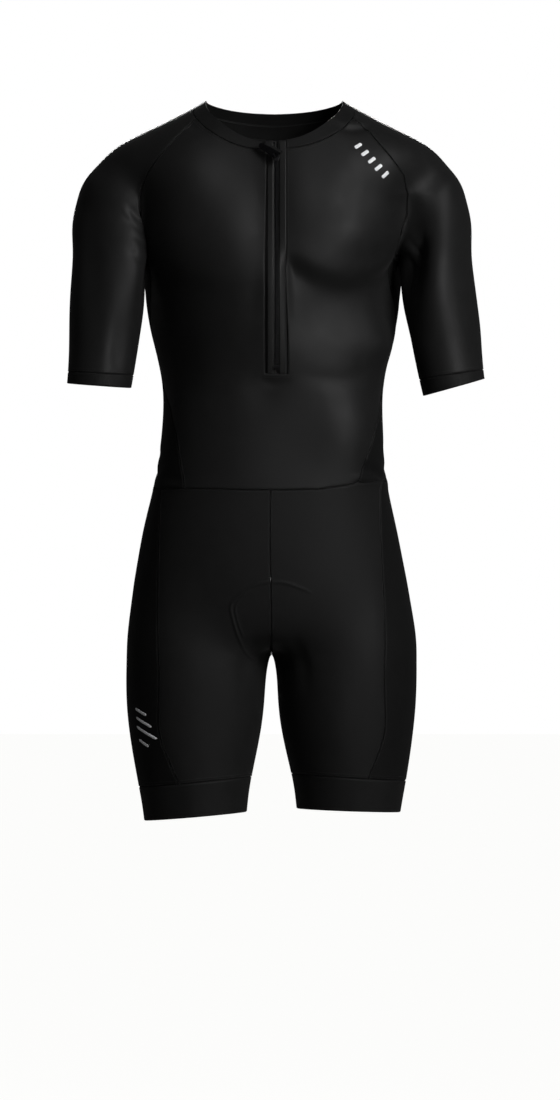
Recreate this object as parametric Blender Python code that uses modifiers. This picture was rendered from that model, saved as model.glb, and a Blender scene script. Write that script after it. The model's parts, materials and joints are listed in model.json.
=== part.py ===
"""One-piece triathlon suit, filled out with no wearer: raglan sleeves, half zip, shorts with hem bands.

Metres, +Z up, the front faces -Y and +X is the wearer's left.  The origin is the middle of the
shoulder line, between the two points where the neckline crosses the top of the shoulders.  Every
cloth panel is a wall laid on one smooth general figure, and neighbouring panels share the points of
the seam between them.  The figure is worked out upright, and leans sideways a little at the end.
"""

import math

import bpy
import numpy as np
from mathutils import Matrix, Vector

# ---------------------------------------------------------------- driving dimensions
CLOTH = 0.0015  # wall of every cut piece
SEAM_GAP = 0.0003  # between two pieces that are sewn together

FRONT_COLUMNS = 7  # of a half of the front panel, beside the zip
BACK_COLUMNS = 14
SLEEVE_COLUMNS = 20
SIDE_ROWS = 9  # from the waist seam to the armpit
RAGLAN_ROWS = 8  # from the armpit to the neck band
UNDERARM_ROWS = 4  # of half of a side panel's top edge
TUBE_ROWS = 5  # from the cuff to the armpit

ZIP_MIDDLE = 0.0045
ZIP_HALF_OPENING = 0.0110  # half of the slot in the front panel
ZIP_BOTTOM = -0.3430
ZIP_BOTTOM_ROW = 5

SHORTS_UPPER_ROWS = 4  # down to the start of the seat's curve
SHORTS_SEAT_ROWS = 7  # round to the crotch point
SHORTS_LEG_ROWS = 5  # down to the hem band
SEAT_HEIGHT = -0.6000
SEAT_MIDDLE = 0.0100
THIGH_HEIGHT = -0.7000

RAGLAN_FRONT_ANGLE = 61.5  # where the raglan seams meet the neck band, in degrees from the front
RAGLAN_BACK_ANGLE = 124.0
SHOULDER_CENTRE = (0.165, 0.003, -0.125)
SHOULDER_START = -42.6  # degrees above the horizontal, from the shoulder's centre
SHOULDER_END = 119.8
SLEEVE_AXIS_DEPTH = 0.048
LIMB_REACH = {"arm": 0.07, "leg": 0.12}  # no section of a limb is wider than this from its centre


# ---------------------------------------------------------------- tables and curves
def curve_through(places, values):
    """A natural cubic curve through the points, straight beyond both ends."""
    order = np.argsort(places)
    x, y = np.asarray(places, float)[order], np.asarray(values, float)[order]
    n, h = len(x), np.diff(x)
    slope = np.diff(y) / h
    system, right = np.eye(n), np.zeros(n)
    for i in range(1, n - 1):
        system[i, i - 1 : i + 2] = h[i - 1], 2 * (h[i - 1] + h[i]), h[i]
        right[i] = 6 * (slope[i] - slope[i - 1])
    bend = np.linalg.solve(system, right)
    start = slope[0] - h[0] * bend[1] / 6
    end = slope[-1] + h[-1] * bend[-2] / 6

    def value(at):
        at = np.asarray(at, float)
        i = np.clip(np.searchsorted(x, at) - 1, 0, n - 2)
        t = np.clip(at, x[0], x[-1]) - x[i]
        left = slope[i] - h[i] * (2 * bend[i] + bend[i + 1]) / 6
        inside = y[i] + t * (left + t * (bend[i] / 2 + t * (bend[i + 1] - bend[i]) / (6 * h[i])))
        return inside + np.minimum(at - x[0], 0) * start + np.maximum(at - x[-1], 0) * end

    return value


def table(columns, rows):
    """One curve for each named column, over the first column."""
    names = columns.split()
    data = np.array(rows, float)
    return {name: curve_through(data[:, 0], data[:, i + 1]) for i, name in enumerate(names[1:])}


# Sections of the general figure.  front and back are distances from the plane y = 0, and middle is
# the y at which the section is widest.
TORSO = table(
    "height half_width front back middle",
    [
        (+0.050, 0.0600, 0.046, 0.060, 0.006),
        (+0.020, 0.0680, 0.052, 0.068, 0.006),
        (+0.000, 0.0850, 0.062, 0.074, 0.006),
        (-0.020, 0.1185, 0.070, 0.082, 0.006),
        (-0.040, 0.1610, 0.078, 0.090, 0.006),
        (-0.058, 0.1935, 0.087, 0.097, 0.007),
        (-0.080, 0.2060, 0.098, 0.104, 0.010),
        (-0.110, 0.1800, 0.111, 0.110, 0.016),
        (-0.150, 0.1680, 0.122, 0.115, 0.026),
        (-0.205, 0.1630, 0.129, 0.117, 0.032),
        (-0.250, 0.1595, 0.127, 0.113, 0.030),
        (-0.2875, 0.1530, 0.120, 0.108, 0.022),
        (-0.325, 0.1425, 0.113, 0.102, 0.013),
        (-0.3625, 0.1372, 0.108, 0.097, 0.006),
        (-0.400, 0.1375, 0.106, 0.093, 0.003),
        (-0.4375, 0.1403, 0.106, 0.092, 0.002),
        (-0.4875, 0.1475, 0.107, 0.097, 0.003),
        (-0.525, 0.1568, 0.108, 0.106, 0.006),
        (-0.575, 0.1668, 0.108, 0.119, 0.010),
        (-0.625, 0.1735, 0.104, 0.128, 0.012),
        (-0.6625, 0.1765, 0.097, 0.127, 0.012),
        (-0.700, 0.1770, 0.088, 0.118, 0.010),
    ],
)
LEG = table(
    "height half_width centre_left centre_right front back middle",
    [
        (-0.600, 0.0690, 0.0910, 0.0910, 0.070, 0.080, 0.004),
        (-0.640, 0.0785, 0.0930, 0.0925, 0.082, 0.096, 0.004),
        (-0.680, 0.0870, 0.0950, 0.0945, 0.092, 0.102, 0.004),
        (-0.7075, 0.0885, 0.0950, 0.0955, 0.094, 0.099, 0.003),
        (-0.750, 0.0880, 0.0950, 0.0965, 0.092, 0.091, 0.002),
        (-0.79375, 0.0830, 0.0955, 0.0970, 0.087, 0.080, 0.000),
        (-0.850, 0.0725, 0.0985, 0.0985, 0.078, 0.069, -0.002),
        (-0.8875, 0.0668, 0.0975, 0.0975, 0.073, 0.063, -0.003),
        (-0.910, 0.0650, 0.0970, 0.0970, 0.071, 0.061, -0.003),
    ],
)
ARM = table(
    "height radius left right y",
    [
        (-0.126, 0.0495, 0.1915, 0.1930, 0.003),
        (-0.150, 0.0487, 0.1975, 0.1987, -0.001),
        (-0.180, 0.0475, 0.2010, 0.2020, -0.012),
        (-0.205, 0.0456, 0.2040, 0.2044, -0.024),
        (-0.230, 0.0468, 0.2060, 0.2055, -0.030),
        (-0.250, 0.0475, 0.2075, 0.2063, -0.033),
        (-0.2875, 0.0450, 0.2144, 0.2094, -0.037),
        (-0.325, 0.0425, 0.2187, 0.2125, -0.041),
        (-0.365, 0.0408, 0.2260, 0.2175, -0.046),
    ],
)
LEAN = table(
    "height x",
    [
        (+0.05, 0.0015),
        (+0.00, 0.0015),
        (-0.03, 0.0008),
        (-0.06, 0.0000),
        (-0.36, 0.0000),
        (-0.42, -0.0010),
        (-0.48, -0.0030),
        (-0.57, -0.0035),
        (-0.66, -0.0020),
        (-0.75, -0.0015),
        (-0.91, -0.0015),
    ],
)["x"]
ARM_TOP = -0.126  # centre of the round of the shoulder
ARM_DEPTH = 1.10  # an arm is this much deeper than it is wide
TORSO_SQUARENESS = 2.3  # exponent of a section; 2 is an ellipse
LEG_SQUARENESS = 2.1
LEG_TOP = -0.600
CROTCH_FLOOR = -0.6840
FLOOR_BLEND = 0.055
HIP_BLEND = 0.030
ARMPIT_BLEND = (0.0012, -0.212)  # radius of the fold between arm and chest, and where it starts
CHEST_BLEND = (0.0100, -0.188)
SHOULDER_BLEND = (0.0360, -0.090)

# Heights of the seams round the body.  Angles are in degrees from the front, positive to the left.
WAIST = table(
    "angle height",
    [(-180, -0.478), (-90, -0.4872), (-50, -0.4868), (0, -0.4883), (40, -0.485), (55, -0.480),
     (90, -0.4755), (180, -0.478)],
)["height"]
NECK = table(
    "angle edge seam",
    [
        (0, -0.0515, -0.0590),
        (15, -0.0497, -0.0575),
        (33, -0.0385, -0.0505),
        (42, -0.0290, -0.0430),
        (56, -0.0150, -0.0275),
        (70, -0.0045, -0.0130),
        (90, +0.0000, -0.0070),
        (115, -0.0035, -0.0115),
        (145, -0.0110, -0.0215),
        (180, -0.0140, -0.0270),
    ],
)
# The raglan seams, from the neck band down to the fold of the armpit.
RAGLAN_FRONT = (
    "height left right",
    [
        (-0.040, 0.1210, 0.1100),
        (-0.060, 0.1355, 0.1305),
        (-0.080, 0.1545, 0.1480),
        (-0.100, 0.1670, 0.1590),
        (-0.125, 0.1720, 0.1645),
        (-0.147, 0.1705, 0.1660),
        (-0.160, 0.1665, 0.1630),
        (-0.175, 0.1595, 0.1585),
    ],
)
RAGLAN_BACK = (
    "height left right",
    [
        (-0.135, 0.1680, 0.1680),
        (-0.105, 0.1600, 0.1600),
        (-0.080, 0.1460, 0.1460),
        (-0.058, 0.1260, 0.1260),
        (-0.040, 0.1060, 0.1060),
    ],
)
# The fold under the arm, from the front round to the back.
ARMPIT = (
    "x y z",
    [
        (0.1548, -0.0280, -0.1900),
        (0.1562, -0.0180, -0.1995),
        (0.1580, -0.0090, -0.2035),
        (0.1607, +0.0015, -0.2000),
        (0.1643, +0.0150, -0.1910),
        (0.1662, +0.0265, -0.1800),
        (0.1678, +0.0410, -0.1600),
    ],
)
ARMPIT_FRONT, ARMPIT_POINT, ARMPIT_BACK = 0, 2, 4  # rows of that list where panels meet
SIDE_SEAM = table(
    "height front back",
    [
        (-0.1900, 69.0, 84.4),
        (-0.2200, 73.0, 95.0),
        (-0.2600, 80.0, 108.0),
        (-0.3100, 89.0, 120.0),
        (-0.3350, 91.0, 124.0),
        (-0.3575, 87.0, 127.0),
        (-0.3720, 79.0, 128.0),
        (-0.3863, 71.0, 129.0),
        (-0.4100, 64.5, 130.0),
        (-0.4337, 60.5, 130.0),
        (-0.4825, 52.0, 128.0),
    ],
)
# Columns of a side panel at the waist seam, and those of them that go on down the leg.
SIDE_ANGLES = (52.0, 62.0, 72.5, 80.5, 89.0, 97.5, 106.0, 114.0, 128.0)
LEG_SIDE_START, LEG_SIDE_END = 2, 7
LEG_SEAM = table(
    "height front back",
    [
        (-0.480, 0.1380, 0.1330),
        (-0.520, 0.1380, 0.1380),
        (-0.600, 0.1385, 0.1440),
        (-0.700, 0.1385, 0.1400),
        (-0.750, 0.1385, 0.1340),
        (-0.790, 0.1405, 0.1290),
        (-0.812, 0.1335, 0.1245),
        (-0.826, 0.1250, 0.1205),
        (-0.841, 0.1175, 0.1160),
        (-0.857, 0.1100, 0.1120),
    ],
)
# Rows of the shorts are counted from the crotch point's row.  A row's middle dips below its ends there,
# so that rows leave the centre seam squarely, and is seen from a centre that is lifted.
SEAT_ROW = SHORTS_UPPER_ROWS + SHORTS_SEAT_ROWS
ROW_DIP = ((SEAT_ROW - 4, SEAT_ROW, SEAT_ROW + 1, SEAT_ROW + 3), (0, 0.020, 0.010, 0))
CENTRE_X = ((0, SHORTS_UPPER_ROWS, SEAT_ROW), (0.080, 0.085, 0.0955))
CENTRE_LIFT = ((SHORTS_UPPER_ROWS, SEAT_ROW, SEAT_ROW + 1), (0, 0.012, 0))
INNER_LEG_X = 0.030  # of the inner leg's seam at the hem band
LEG_END = -0.857  # lowest height of the seams beside a leg's side panel
SIDE_END = -0.4825  # lowest height of the seams beside a side panel of the top

# Planes of the hems: the height at a distance from the middle, and the slope outwards from there.
LEG_SEAM_PLANE = {1: (-0.8480, -0.070, 0.097), -1: (-0.8545, -0.100, 0.097)}
LEG_EDGE_PLANE = {1: (-0.8890, -0.035, 0.097), -1: (-0.8965, -0.085, 0.097)}
CUFF_SEAM_PLANE = {1: (-0.3457, 0.137, 0.228), -1: (-0.3454, 0.050, 0.213)}
CUFF_EDGE_PLANE = {1: (-0.3600, 0.289, 0.2286), -1: (-0.3587, 0.075, 0.217)}
SIDE_NAME = {1: "left", -1: "right"}


# ---------------------------------------------------------------- the general figure as a field
def joined(a, b, blend):
    """The lower of two fields, with the crease between them filled to a soft fillet."""
    near = np.maximum(blend - np.abs(a - b), 0) / blend
    return np.minimum(a, b) - near**3 * blend / 6


def ramp(value, start, end):
    t = np.clip((value - start) / (end - start), 0, 1)
    return t * t * t * (t * (6 * t - 15) + 10)


def section_distance(x, y, half_width, front, back, middle, squareness):
    """How far (x, y) lies outside a section whose front and back differ in depth."""
    along = y - middle
    out = np.hypot(x, along) + 1e-9
    forward = 0.5 - 0.5 * along / out
    depth = (back - middle) * (1 - forward) + (front + middle) * forward
    power = (np.abs(x / out) / half_width) ** squareness + (np.abs(along / out) / depth) ** squareness
    return out - power ** (-1 / squareness)


def torso(p):
    shape = [TORSO[name](p[..., 2]) for name in ("half_width", "front", "back", "middle")]
    return section_distance(p[..., 0], p[..., 1], *shape, TORSO_SQUARENESS)


def arm(p, side):
    z = np.minimum(p[..., 2], ARM_TOP)
    across = side * p[..., 0] - ARM[SIDE_NAME[side]](z)
    along = (p[..., 1] - ARM["y"](z)) / ARM_DEPTH
    above = np.maximum(p[..., 2] - ARM_TOP, 0)
    return np.sqrt(across**2 + along**2 + above**2) - ARM["radius"](z)


def leg(p, side):
    z = p[..., 2]
    shape = [LEG[name](z) for name in ("half_width", "front", "back", "middle")]
    across = side * p[..., 0] - LEG["centre_" + SIDE_NAME[side]](z)
    return section_distance(across, p[..., 1], *shape, LEG_SQUARENESS) + np.maximum(z - LEG_TOP, 0)


def fold_radius(z):
    (low, low_z), (chest, chest_z), (top, top_z) = ARMPIT_BLEND, CHEST_BLEND, SHOULDER_BLEND
    return low + (chest - low) * ramp(z, low_z, chest_z) + (top - chest) * ramp(z, chest_z, top_z)


def upper_form(p):
    return joined(torso(p), np.minimum(arm(p, 1), arm(p, -1)), fold_radius(p[..., 2]))


def pelvis(p):
    return -joined(-torso(p), p[..., 2] - CROTCH_FLOOR, FLOOR_BLEND)


def leg_form(side):
    def form(p):
        return joined(pelvis(p), leg(p, side), HIP_BLEND)

    return form


def lower_form(p):
    return joined(pelvis(p), np.minimum(leg(p, 1), leg(p, -1)), HIP_BLEND)


def slope_of(form, p):
    step = 2e-5
    return np.stack([(form(p + axis) - form(p - axis)) / (2 * step) for axis in np.eye(3) * step], -1)


def unit(v):
    v = np.asarray(v, float)
    return v / np.maximum(np.linalg.norm(v, axis=-1, keepdims=True), 1e-12)


def settle(form, p, rounds=6):
    """The points moved straight onto the figure."""
    p = np.array(p, float)
    for _ in range(rounds):
        g = slope_of(form, p)
        p -= form(p)[..., None] * g / np.maximum((g * g).sum(-1, keepdims=True), 0.2)
    return p


def cast(form, start, way, reach=0.30, step=0.002):
    """Where a way that starts inside the figure first comes out of it."""
    start, way = np.broadcast_arrays(np.asarray(start, float), unit(way))
    places = np.arange(0.004, reach, step)
    outside = np.stack([form(start + way * s) > 0 for s in places])
    first = np.argmax(outside, axis=0)
    low, high = places[np.maximum(first - 1, 0)], places[first]
    for _ in range(16):
        middle = (low + high) / 2
        out = form(start + way * middle[..., None]) > 0
        low, high = np.where(out, low, middle), np.where(out, middle, high)
    return start + way * ((low + high) / 2)[..., None]


# ---------------------------------------------------------------- rows of points on the figure
def path_through(points):
    """A smooth path through points, by length, and the length at each point."""
    points = np.asarray(points, float)
    length = np.concatenate([[0], np.cumsum(np.linalg.norm(np.diff(points, axis=0), axis=1))])
    curves = [curve_through(length, points[:, axis]) for axis in range(3)]
    return (lambda at: np.stack([curve(at) for curve in curves], -1)), length


def lengths(points):
    return np.concatenate([[0], np.cumsum(np.linalg.norm(np.diff(points, axis=0), axis=1))])


def at_lengths(points, stops):
    """Points at the given distances along a fine row."""
    along = lengths(points)
    return np.stack([np.interp(stops, along, points[:, axis]) for axis in range(3)], -1)


def shared_out(points, shares):
    """Points at the given shares of a fine row's length."""
    if np.isscalar(shares):
        shares = np.linspace(0, 1, shares + 1)
    return at_lengths(points, np.asarray(shares) * lengths(points)[-1])


def fan(form, centre, first, last, toward, count=72):
    """A fine row on the figure from first to last, past toward, seen from a centre inside it."""
    centre, first, last, toward = (np.asarray(v, float) for v in (centre, first, last, toward))
    ahead = unit(toward - centre)
    across = first - last
    across = unit(across - across.dot(ahead) * ahead)
    upward = np.cross(ahead, across)
    angles, rises = [], []
    for point in (first, last):
        flat = (point - centre).dot(ahead), (point - centre).dot(across)
        angles.append(math.atan2(flat[1], flat[0]))
        rises.append((point - centre).dot(upward) / math.hypot(*flat))
    (a, b), (ra, rb) = angles, rises
    linear = (ra * b**2 - rb * a**2) / (a * b * (b - a))
    square = (ra * b - rb * a) / (a * b * (a - b))
    turn = np.linspace(a, b, count + 1)[:, None]
    way = np.cos(turn) * ahead + np.sin(turn) * across + (linear * turn + square * turn**2) * upward
    row = cast(form, centre, way)
    row[0], row[-1] = first, last
    return row


def finished(form, row):
    """A row's inner points settled on the figure, with its ends left where they are."""
    row = np.array(row)
    row[1:-1] = settle(form, row[1:-1])
    return row


def torso_centre(z):
    return np.stack([np.zeros_like(z), TORSO["middle"](z), z], -1)


def round_torso(angle, z):
    """Points of the torso at an angle from the front, in degrees, positive to the left."""
    angle, z = np.broadcast_arrays(np.radians(angle), np.asarray(z, float))
    way = np.stack([np.sin(angle), -np.cos(angle), np.zeros_like(z)], -1)
    return cast(upper_form, torso_centre(z), way)


def from_outside(form, x, z, facing):
    """The point that shows at (x, z) from the front, facing -1, or from the back, facing 1."""
    x, z = np.broadcast_arrays(np.asarray(x, float), np.asarray(z, float))
    places = np.arange(0.18, -0.06, -0.001)
    tries = [form(np.stack([x, np.full_like(x, facing * s), z], -1)) < 0 for s in places]
    first = np.argmax(np.stack(tries), axis=0)
    low, high = places[first], places[first - 1]
    for _ in range(16):
        middle = (low + high) / 2
        inside = form(np.stack([x, facing * middle, z], -1)) < 0
        low, high = np.where(inside, middle, low), np.where(inside, high, middle)
    return np.stack([x, facing * low, z], -1)


# ---------------------------------------------------------------- seams of the top
def neck_row(name, start, end, count=96):
    angle = np.linspace(start, end, count + 1)
    return round_torso(angle, NECK[name](np.abs((angle + 180) % 360 - 180)))


def raglan_guides(side, rows, facing):
    x = table(*rows)[SIDE_NAME[side]]
    heights = np.array([row[0] for row in rows[1]])
    return from_outside(upper_form, side * x(heights), heights, facing)


def armhole(side):
    """The two halves of the sleeve's seam, each from the armpit point up to the neck band."""
    top_front = neck_row("seam", side * RAGLAN_FRONT_ANGLE, side * RAGLAN_FRONT_ANGLE, 1)[:1]
    top_back = neck_row("seam", side * RAGLAN_BACK_ANGLE, side * RAGLAN_BACK_ANGLE, 1)[:1]
    fold = np.array(ARMPIT[1]) * (side, 1, 1)
    front = np.concatenate([top_front, raglan_guides(side, RAGLAN_FRONT, -1)])
    guides = np.concatenate([front, fold, raglan_guides(side, RAGLAN_BACK, 1), top_back])
    path, knots = path_through(guides)
    marks = [knots[len(front) + row] for row in (ARMPIT_FRONT, ARMPIT_POINT, ARMPIT_BACK)]
    front_side = np.concatenate([
        np.linspace(marks[1], marks[0], UNDERARM_ROWS + 1),
        np.linspace(marks[0], 0, RAGLAN_ROWS + 1)[1:],
    ])
    back_side = np.concatenate([
        np.linspace(marks[1], marks[2], UNDERARM_ROWS + 1),
        np.linspace(marks[2], knots[-1], RAGLAN_ROWS + 1)[1:],
    ])
    halves = [settle(upper_form, path(stops)) for stops in (front_side, back_side)]
    halves[0][-1], halves[1][-1] = top_front[0], top_back[0]
    return halves


def side_seam(side, name, end):
    """From the waist seam up to the armhole, where it ends at a given point."""
    angle = SIDE_SEAM[name](SIDE_END)
    z = np.linspace(WAIST(side * angle), end[2], SIDE_ROWS + 1)
    row = round_torso(side * SIDE_SEAM[name](z), z)
    row[0] = round_torso(side * angle, WAIST(side * angle))
    row[-1] = end
    return row


def torso_border(side, half, name):
    """A side of the front or back panel: the side seam, then the raglan seam up to the neck."""
    return np.concatenate([side_seam(side, name, half[UNDERARM_ROWS]), half[UNDERARM_ROWS + 1 :]])


# ---------------------------------------------------------------- panels of the top
def waist_row(start, end, count=96):
    angle = np.linspace(start, end, count + 1)
    return round_torso(angle, WAIST(angle))


def slot_stops(row, middle):
    """Distances along a row of the front panel at which its columns stand."""
    along = lengths(row)
    near = np.abs(row[:, 0]) < 0.06
    slot = [middle - ZIP_HALF_OPENING, middle, middle + ZIP_HALF_OPENING]
    edges = np.interp(slot, row[near, 0], along[near])
    before = np.linspace(0, edges[0], FRONT_COLUMNS + 1)
    after = np.linspace(edges[2], along[-1], FRONT_COLUMNS + 1)
    return np.concatenate([before, edges[1:2], after])


def front_rows(left, right):
    last = SIDE_ROWS + RAGLAN_ROWS
    heights = np.concatenate([
        np.linspace(WAIST(0), ZIP_BOTTOM, ZIP_BOTTOM_ROW + 1),
        np.linspace(ZIP_BOTTOM, NECK["seam"](0), last - ZIP_BOTTOM_ROW + 1)[1:],
    ])
    rows = []
    for i in range(last + 1):
        middle = ZIP_MIDDLE * ramp(i, 0, ZIP_BOTTOM_ROW)
        if i == 0:
            row = waist_row(-SIDE_ANGLES[0], SIDE_ANGLES[0])
        elif i == last:
            row = neck_row("seam", -RAGLAN_FRONT_ANGLE, RAGLAN_FRONT_ANGLE)
        else:
            toward = round_torso(0, heights[i])
            centre = torso_centre((left[i][2] + right[i][2] + 2 * heights[i]) / 4)
            row = fan(upper_form, centre, right[i], left[i], toward)
        rows.append(finished(upper_form, at_lengths(row, slot_stops(row, middle))))
    return np.array(rows)


def back_rows(left, right):
    last = SIDE_ROWS + RAGLAN_ROWS
    heights = np.linspace(WAIST(180), NECK["seam"](180), last + 1)
    rows = []
    for i in range(last + 1):
        if i == 0:
            row = waist_row(SIDE_ANGLES[-1], 180)
            row = np.concatenate([row, waist_row(-180, -SIDE_ANGLES[-1])[1:]])
        elif i == last:
            row = neck_row("seam", RAGLAN_BACK_ANGLE, 360 - RAGLAN_BACK_ANGLE)
        else:
            toward = round_torso(180, heights[i])
            centre = torso_centre((left[i][2] + right[i][2] + 2 * heights[i]) / 4)
            row = fan(upper_form, centre, left[i], right[i], toward)
        rows.append(finished(upper_form, shared_out(row, BACK_COLUMNS)))
    return np.array(rows)


def side_rows(side, front, back, top):
    """Front and back are the side seams, and top is the edge under the arm."""
    angles = np.array(SIDE_ANGLES)
    at_waist = (angles - angles[0]) / (angles[-1] - angles[0])
    even = np.linspace(0, 1, len(angles))
    rows = [round_torso(side * angles, WAIST(side * angles))]
    for i in range(1, SIDE_ROWS):
        z = (front[i][2] + back[i][2]) / 2
        angle = (SIDE_SEAM["front"](z) + SIDE_SEAM["back"](z)) / 2
        row = fan(upper_form, torso_centre(z), front[i], back[i], round_torso(side * angle, z))
        blend = i / SIDE_ROWS
        rows.append(finished(upper_form, shared_out(row, at_waist * (1 - blend) + even * blend)))
    rows.append(top)
    return np.array(rows)


# ---------------------------------------------------------------- sleeves
def arm_centre(side, z):
    return np.stack([side * ARM[SIDE_NAME[side]](z), ARM["y"](z), z], -1)


def tilted_ring(form, side, angles, plane, centre_of, reach):
    """A ring round a limb, in a plane that slopes outwards, at angles from the inner side."""
    height, slope, distance = plane
    z = np.full(len(angles), height)
    for _ in range(4):
        way = np.stack([-side * np.cos(angles), -np.sin(angles), np.zeros(len(angles))], -1)
        ring = cast(form, centre_of(side, z), way, reach)
        z = height + slope * (side * ring[:, 0] - distance)
    ring[:, 2] = z
    return ring


def sleeve_angles(side, point):
    """Angles of a sleeve's columns: the first is at the armpit point, then round by the front."""
    away = point - arm_centre(side, point[2])
    start = math.atan2(-away[1], -side * away[0])
    return start + np.linspace(0, 2 * math.pi, SLEEVE_COLUMNS + 1)


def sleeve_rows(side, front, back):
    angles = sleeve_angles(side, front[0])
    start, end = np.array(CUFF_SEAM_PLANE[side]), np.array((front[0][2], 0.0, 0.2))
    rows = []
    for i in range(TUBE_ROWS + 1):
        plane = start + (end - start) * i / TUBE_ROWS
        rows.append(tilted_ring(upper_form, side, angles, plane, arm_centre, LIMB_REACH["arm"]))
    rows[-1][0] = rows[-1][-1] = front[0]
    shoulder = np.array(SHOULDER_CENTRE) * (side, 1, 1)
    last = len(front) - 1
    for i in range(1, last + 1):
        up = math.radians(SHOULDER_START + (SHOULDER_END - SHOULDER_START) * i / last)
        toward = cast(upper_form, shoulder, (side * math.cos(up), 0, math.sin(up)))
        inward = unit((front[i] + back[i]) / 2 - toward)
        row = fan(upper_form, toward + inward * SLEEVE_AXIS_DEPTH, front[i], back[i], toward)
        if i == last:
            row = neck_row("seam", side * RAGLAN_FRONT_ANGLE, side * RAGLAN_BACK_ANGLE)
        rows.append(finished(upper_form, shared_out(row, SLEEVE_COLUMNS)))
    return np.array(rows)


def cuff_rows(side, seam, point):
    angles = sleeve_angles(side, point)
    plane = CUFF_EDGE_PLANE[side]
    edge = tilted_ring(upper_form, side, angles, plane, arm_centre, LIMB_REACH["arm"])
    return np.array([edge, seam])


def neck_rows(seam):
    """The neck band, from one side of the zip round the back to the other, on its seam's points."""
    middle = TORSO["middle"](seam[:, 2])
    angles = np.degrees(np.unwrap(np.arctan2(seam[:, 0], middle - seam[:, 1])))
    folded = np.abs((angles + 180) % 360 - 180)
    edge_z, seam_z = NECK["edge"](folded), seam[:, 2]
    return np.array([seam, round_torso(angles, (edge_z + seam_z) / 2), round_torso(angles, edge_z)])


# ---------------------------------------------------------------- shorts
def leg_centre(side, z):
    return np.stack([side * LEG["centre_" + SIDE_NAME[side]](z), LEG["middle"](z), z], -1)


def plane_height(plane, x):
    height, slope, distance = plane
    return height + slope * (abs(x) - distance)


def inner_border(side, facing, row):
    """A point of the centre seam, then from the crotch point on of the inner leg's seam."""
    if row <= SHORTS_UPPER_ROWS:
        top = WAIST(0 if facing < 0 else 180)
        start = np.array([0, SEAT_MIDDLE, top + (SEAT_HEIGHT - top) * row / SHORTS_UPPER_ROWS])
        return cast(lower_form, start, (0, facing, 0))
    if row <= SEAT_ROW:
        down = math.pi / 2 * (row - SHORTS_UPPER_ROWS) / SHORTS_SEAT_ROWS
        way = (0, facing * math.cos(down), -math.sin(down))
        return cast(lower_form, (0, SEAT_MIDDLE, SEAT_HEIGHT), way)
    top = inner_border(side, facing, SEAT_ROW)[2]
    bottom = plane_height(LEG_SEAM_PLANE[side], INNER_LEG_X)
    z = top + (bottom - top) * (row - SEAT_ROW) / SHORTS_LEG_ROWS
    return cast(leg_form(side), leg_centre(side, z), (-side, 0, 0), LIMB_REACH["leg"])


def outer_border(side, name, row):
    """A point of the seam between a leg's side panel and its front or back."""
    last = SEAT_ROW + SHORTS_LEG_ROWS
    bottom = plane_height(LEG_SEAM_PLANE[side], LEG_SEAM[name](LEG_END))
    angle = side * SIDE_ANGLES[LEG_SIDE_START if name == "front" else LEG_SIDE_END]
    if row == 0:
        return round_torso(angle, WAIST(angle))
    heights = (WAIST(angle), SEAT_HEIGHT, THIGH_HEIGHT, bottom)
    z = np.interp(row, (0, SHORTS_UPPER_ROWS, SEAT_ROW, last), heights)
    return from_outside(leg_form(side), side * LEG_SEAM[name](z), z, -1 if name == "front" else 1)


def leg_row_centre(side, row, first, last):
    x, lift = np.interp(row, *CENTRE_X), np.interp(row, *CENTRE_LIFT)
    return np.array([side * x, 0.0, (first[2] + last[2]) / 2 + lift])


def leg_fine_row(side, panel, row):
    """A fine row of a leg's panel: front and back run outwards, side runs from front to back."""
    form = leg_form(side)
    if panel == "side":
        first, last = outer_border(side, "front", row), outer_border(side, "back", row)
        way = (side, 0, 0)
    else:
        facing = -1 if panel == "front" else 1
        first, last = inner_border(side, facing, row), outer_border(side, panel, row)
        way = (0, facing, 0)
    centre = leg_row_centre(side, row, first, last)
    dip = np.interp(row, *ROW_DIP) if panel != "side" else 0
    toward = cast(form, (centre[0], centre[1], (first[2] + last[2]) / 2 - dip), way)
    return fan(form, centre, first, last, toward)


def leg_rows(side, panel, waist, columns):
    """A panel from its stretch of the waist seam down to the hem band's seam."""
    form = leg_form(side)
    last = SEAT_ROW + SHORTS_LEG_ROWS
    at_waist = lengths(waist) / lengths(waist)[-1]
    even = np.linspace(0, 1, columns + 1)
    rows = [waist]
    for i in range(1, last + 1):
        blend = min(1.0, i / SHORTS_UPPER_ROWS)
        row = shared_out(leg_fine_row(side, panel, i), at_waist * (1 - blend) + even * blend)
        rows.append(finished(form, row))
    rows[-1] = on_plane(side, rows[-1], LEG_SEAM_PLANE[side])
    return np.array(rows)


def on_plane(side, row, plane):
    """A row round a leg moved along the figure onto a hem's plane."""
    centre = leg_centre(side, row[:, 2])
    ring = row.copy()
    for _ in range(4):
        way = (ring - centre) * (1, 1, 0)
        start = leg_centre(side, plane_height(plane, 0) + plane[1] * np.abs(ring[:, 0]))
        ring = cast(leg_form(side), start, way, LIMB_REACH["leg"])
    return ring


def hem_rows(side, seam):
    """A leg's hem band, on the closed ring of its seam's points."""
    edge_plane = np.array(LEG_EDGE_PLANE[side])
    middle_plane = (edge_plane + np.array(LEG_SEAM_PLANE[side])) / 2
    rings = [seam, on_plane(side, seam, middle_plane), on_plane(side, seam, edge_plane)]
    for ring in rings:
        ring[-1] = ring[0]
    return np.array(rings)


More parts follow.
